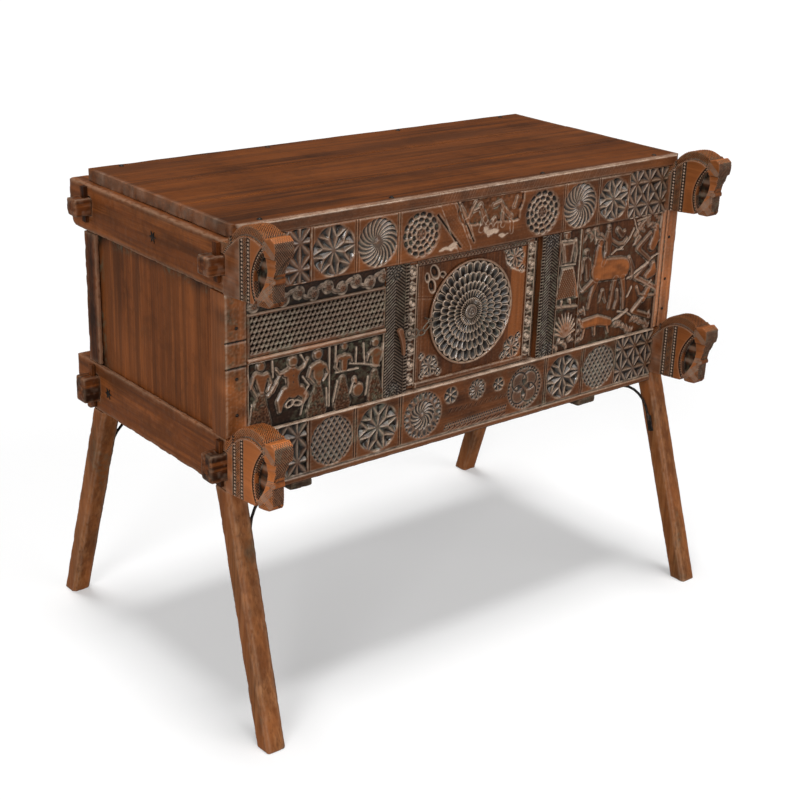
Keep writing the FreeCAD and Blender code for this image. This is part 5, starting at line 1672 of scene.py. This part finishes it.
class TRUNK_OT_boards(bpy.types.Operator):
    """Finish the end panels, back, floor, bearers and back posts"""
    bl_idname = "trunk.boards"
    bl_label = "Plain boards"

    def execute(self, context):
        for k, node in enumerate(("end_panel_left", "end_panel_right")):
            lo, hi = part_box(node)
            piece = rounded_board(node + "_worn", lo, hi, 0.001, step=0.012, wobble=0.0006, seed=30 + k)
            co = points_of(piece)
            # Painted shade along the top, under the lid, and at the back edge, with a soft mottled tone
            dark = ease((co[:, 2] - hi.z + 0.045) / 0.05) * 0.4 + ease((co[:, 1] - hi.y + 0.04) / 0.04) * 0.35
            cloud = grain_noise(co[:, 1] / 0.05, co[:, 2] / 0.11, seed=90 + k)
            set_tone(piece, "cavity", dark + 0.13 * ease(cloud * 2.4 - 1.1))
            rubbed = grain_noise(co[:, 1] / 0.06, co[:, 2] / 0.15, seed=94 + k)
            set_tone(piece, "polish", 0.12 + 0.36 * rubbed)
            dressed(piece, wood("timber", "z"), CARCASS, "carved_wood", node)
        for k in (1, 2, 3):
            node = f"back_board_{k}"
            lo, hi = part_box(node)
            piece = rounded_board(node + "_worn", lo, hi, 0.0015, step=0.012, wobble=0.0006, seed=50 + k)
            dressed(piece, wood("board", "x"), CARCASS, "plain_wood", node)
        for k in (1, 2, 3, 4):
            recoated(f"floor_board_{k}", wood("board", "x"))
        for node in ("post_back_left", "post_back_right"):
            aged(node, "worn", wood("board", "z"), "carved_wood", voxel=0.0026, soften=2, wobble=0.8, seed=33,
                 nicks=1.2)
        for node in ("floor_bearer_left", "floor_bearer_right"):
            piece = aged(node, "worn", wood("board", "y"), "plain_wood", voxel=0.0022, soften=9,
                         wobble=1.0, seed=37, nicks=1.6)
            y = points_of(piece)[:, 1]
            set_tone(piece, "cavity", 0.45 * ease((y.min() + 0.06 - y) / 0.02))
        return {"FINISHED"}


class TRUNK_OT_legs(bpy.types.Operator):
    """Hew the four splayed legs and bend their iron braces"""
    bl_idname = "trunk.legs"
    bl_label = "Legs and braces"

    def execute(self, context):
        sizes, _ = choices(context)
        for k, corner in enumerate(("front_left", "front_right", "back_left", "back_right")):
            leg = aged(f"leg_{corner}", "worn", wood("leg", "z"), "carved_wood",
                       voxel=sizes.timber_grain * 0.75,
                       soften=1, wobble=1.1, seed=80 + 5 * k, nicks=1.4)
            co = points_of(leg)
            stain = ease(noise_at(co, (0.02, 0.02, 0.05), 60 + k) * 4 - 2.3)
            set_tone(leg, "cavity", 0.2 * stain)
            set_tone(leg, "polish", 0.7 * noise_at(co, (0.03, 0.03, 0.12), 3 + k))
            aged(f"brace_{corner}", "forged", iron(), "iron", voxel=0.0011, soften=5, wobble=0.3, seed=14)
        return {"FINISHED"}


def star_plate(name, centre, out, reach, material):
    """A six-pointed iron star under a nail head, ridged from its middle to its points."""
    corners = 12
    turns = np.arange(corners) * math.pi / 6
    radius = np.where(np.arange(corners) % 2, 0.42 * reach, reach)
    verts = [(centre[0] + out * 0.0027, centre[1], centre[2])]
    for x in (0.0008, -0.0006):
        verts += [(centre[0] + out * x, centre[1] + r * math.cos(t), centre[2] + r * math.sin(t))
                  for r, t in zip(radius, turns)]
    faces = []
    for k in range(corners):
        after = (k + 1) % corners
        faces += [(0, 1 + k, 1 + after), (1 + after, 1 + k, 1 + corners + k, 1 + corners + after)]
    faces.append(tuple(range(2 * corners, corners, -1)))
    plate = mesh_object(name, verts, faces, smooth=False)
    outward(plate)
    return dressed(plate, material, CARCASS, "iron")


class TRUNK_OT_ironwork(bpy.types.Operator):
    """Forge the staples, link, hasp and nails, and shape the curved pull"""
    bl_idname = "trunk.ironwork"
    bl_label = "Ironwork and pull"

    def execute(self, context):
        # The chain parts are lighter iron: rubbed metal and painted highlight
        for node, body in (("door_staple", DOOR), ("chain_link", "chain_link"), ("hasp", "hasp"),
                           ("stile_staple", CARCASS)):
            aged(node, "forged", iron(0.8), "iron", voxel=0.00045, soften=4, wobble=0.1, seed=5, body=body)
        pull = aged("stile_pull", "worn", wood("carved", "z"), "rubbed_wood", voxel=0.0008, soften=10,
                    wobble=0.2, seed=6)
        set_tone(pull, "polish", 0.25)
        set_tone(pull, "bare", 0.05)
        nails = np.array([v.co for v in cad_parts["side_rail_nails"].data.vertices])
        half = (nails[:, 2].min() + nails[:, 2].max()) / 2
        for side, end in ((-1, "left"), (1, "right")):
            for upper, level in ((True, "upper"), (False, "lower")):
                group = nails[(nails[:, 0] * side > 0) & ((nails[:, 2] > half) == upper)]
                place = (side * high("side_rail_upper_right").x, group[:, 1].mean(), group[:, 2].mean())
                star_plate(f"{level}_{end}_star", place, side, 0.012, iron())
        for node in ("lid_nails", "side_rail_nails", "post_nails"):
            aged(node, "forged", iron(), "iron", voxel=0.0006, soften=2, wobble=0.1, seed=7)
        return {"FINISHED"}


# For each lamp the way towards it from the trunk, and how wide it looks in degrees
LAMPS = {"key": ((-0.8, -0.55, 0.36), 24.0), "top": ((0.0, 0.0, 1.0), 18.0),
         "fill": ((0.35, -0.85, 0.38), 46.0)}
LAMP_DISTANCE = 3.0
FLOOR_REACH = 30
# The camera, fitted to the trunk's edges in the photograph: millimetres of lens, degrees, metres
SENSOR, LENS = 36.0, 67.4
HEADING, PITCH, ROLL = 39.526, 21.410, 1.885
EYE = (-1.8324, -2.2500, 1.5642)


class TRUNK_OT_stage(bpy.types.Operator):
    """Set out the pale floor, the soft lamps and the camera"""
    bl_idname = "trunk.stage"
    bl_label = "Studio"

    def execute(self, context):
        sizes, colours = choices(context)
        r = FLOOR_REACH
        floor = mesh_object("studio_floor", [(-r, -r, 0), (r, -r, 0), (r, r, 0), (-r, r, 0)], [(0, 1, 2, 3)])
        f = Finish("studio_floor")
        f.set(Roughness=0.9, Specular_IOR_Level=0.1)
        f.backdrop_glow(sizes.floor_glow, tuple(colours.floor), tuple(colours.floor_bounce))
        floor.data.materials.append(f.material)
        for name, (towards, softness) in LAMPS.items():
            self.lamp(name, towards, softness, getattr(sizes, f"{name}_light"))
        world = bpy.data.worlds.new("studio")
        world.use_nodes = True
        room = Nodes(world.node_tree)
        back = room.tree.nodes["Background"]
        level = room.node("MapRange", {}, {"Value": room.backdrop_seen(), "To Min": sizes.room_light,
                                           "To Max": 1.0})
        room.feed(back.inputs["Strength"], level)
        room.feed(back.inputs["Color"], WHITE)
        context.scene.world = world
        context.scene.view_settings.view_transform = "Standard"
        self.camera(context.scene)
        return {"FINISHED"}

    def lamp(self, name, towards, softness, power):
        """A distant soft lamp; towards points from the trunk to it, softness is its angle in degrees."""
        light = bpy.data.lights.new(name, "SUN")
        light.angle = math.radians(softness)
        light.energy = power
        lamp = bpy.data.objects.new(name, light)
        lamp.location = Vector(towards) * LAMP_DISTANCE
        lamp.rotation_euler = Vector(towards).to_track_quat("Z", "Y").to_euler()
        bpy.context.scene.collection.objects.link(lamp)

    def camera(self, scene):
        data = bpy.data.cameras.new("camera")
        data.sensor_width = SENSOR
        data.lens = LENS
        camera = bpy.data.objects.new("camera", data)
        heading, pitch, roll = (math.radians(turn) for turn in (HEADING, PITCH, ROLL))
        forward = Vector((math.sin(heading) * math.cos(pitch), math.cos(heading) * math.cos(pitch),
                          -math.sin(pitch)))
        right = Vector((math.cos(heading), -math.sin(heading), 0.0))
        up = right.cross(forward)
        across = math.cos(roll) * right + math.sin(roll) * up
        upward = math.cos(roll) * up - math.sin(roll) * right
        camera.matrix_world = Matrix((across, upward, -forward)).transposed().to_4x4()
        camera.location = EYE
        scene.collection.objects.link(camera)
        scene.camera = camera


OPERATORS = (TRUNK_OT_side_rails, TRUNK_OT_long_rails, TRUNK_OT_front_panels, TRUNK_OT_door, TRUNK_OT_lid,
             TRUNK_OT_boards, TRUNK_OT_legs, TRUNK_OT_ironwork, TRUNK_OT_stage)


class TRUNK_PT_panel(bpy.types.Panel):
    """Lists the steps that dress the trunk"""
    bl_idname = "TRUNK_PT_panel"
    bl_label = "Carved trunk"
    bl_space_type = "VIEW_3D"
    bl_region_type = "UI"
    bl_category = "Trunk"

    def draw(self, context):
        sizes, colours = choices(context)
        for operator in OPERATORS:
            self.layout.operator(operator.bl_idname)
        for group in (sizes, colours):
            for key in type(group).__annotations__:
                self.layout.prop(group, key)


CLASSES = (TrunkSizes, TrunkColours) + OPERATORS + (TRUNK_PT_panel,)


def register():
    for item in CLASSES:
        bpy.utils.register_class(item)
    bpy.types.Scene.trunk_sizes = bpy.props.PointerProperty(type=TrunkSizes)
    bpy.types.Scene.trunk_colours = bpy.props.PointerProperty(type=TrunkColours)


def unregister():
    del bpy.types.Scene.trunk_colours
    del bpy.types.Scene.trunk_sizes
    for item in reversed(CLASSES):
        bpy.utils.unregister_class(item)


def main():
    register()
    for operator in OPERATORS:
        group, name = operator.bl_idname.split(".")
        getattr(getattr(bpy.ops, group), name)()


if __name__ == "__main__":
    main()
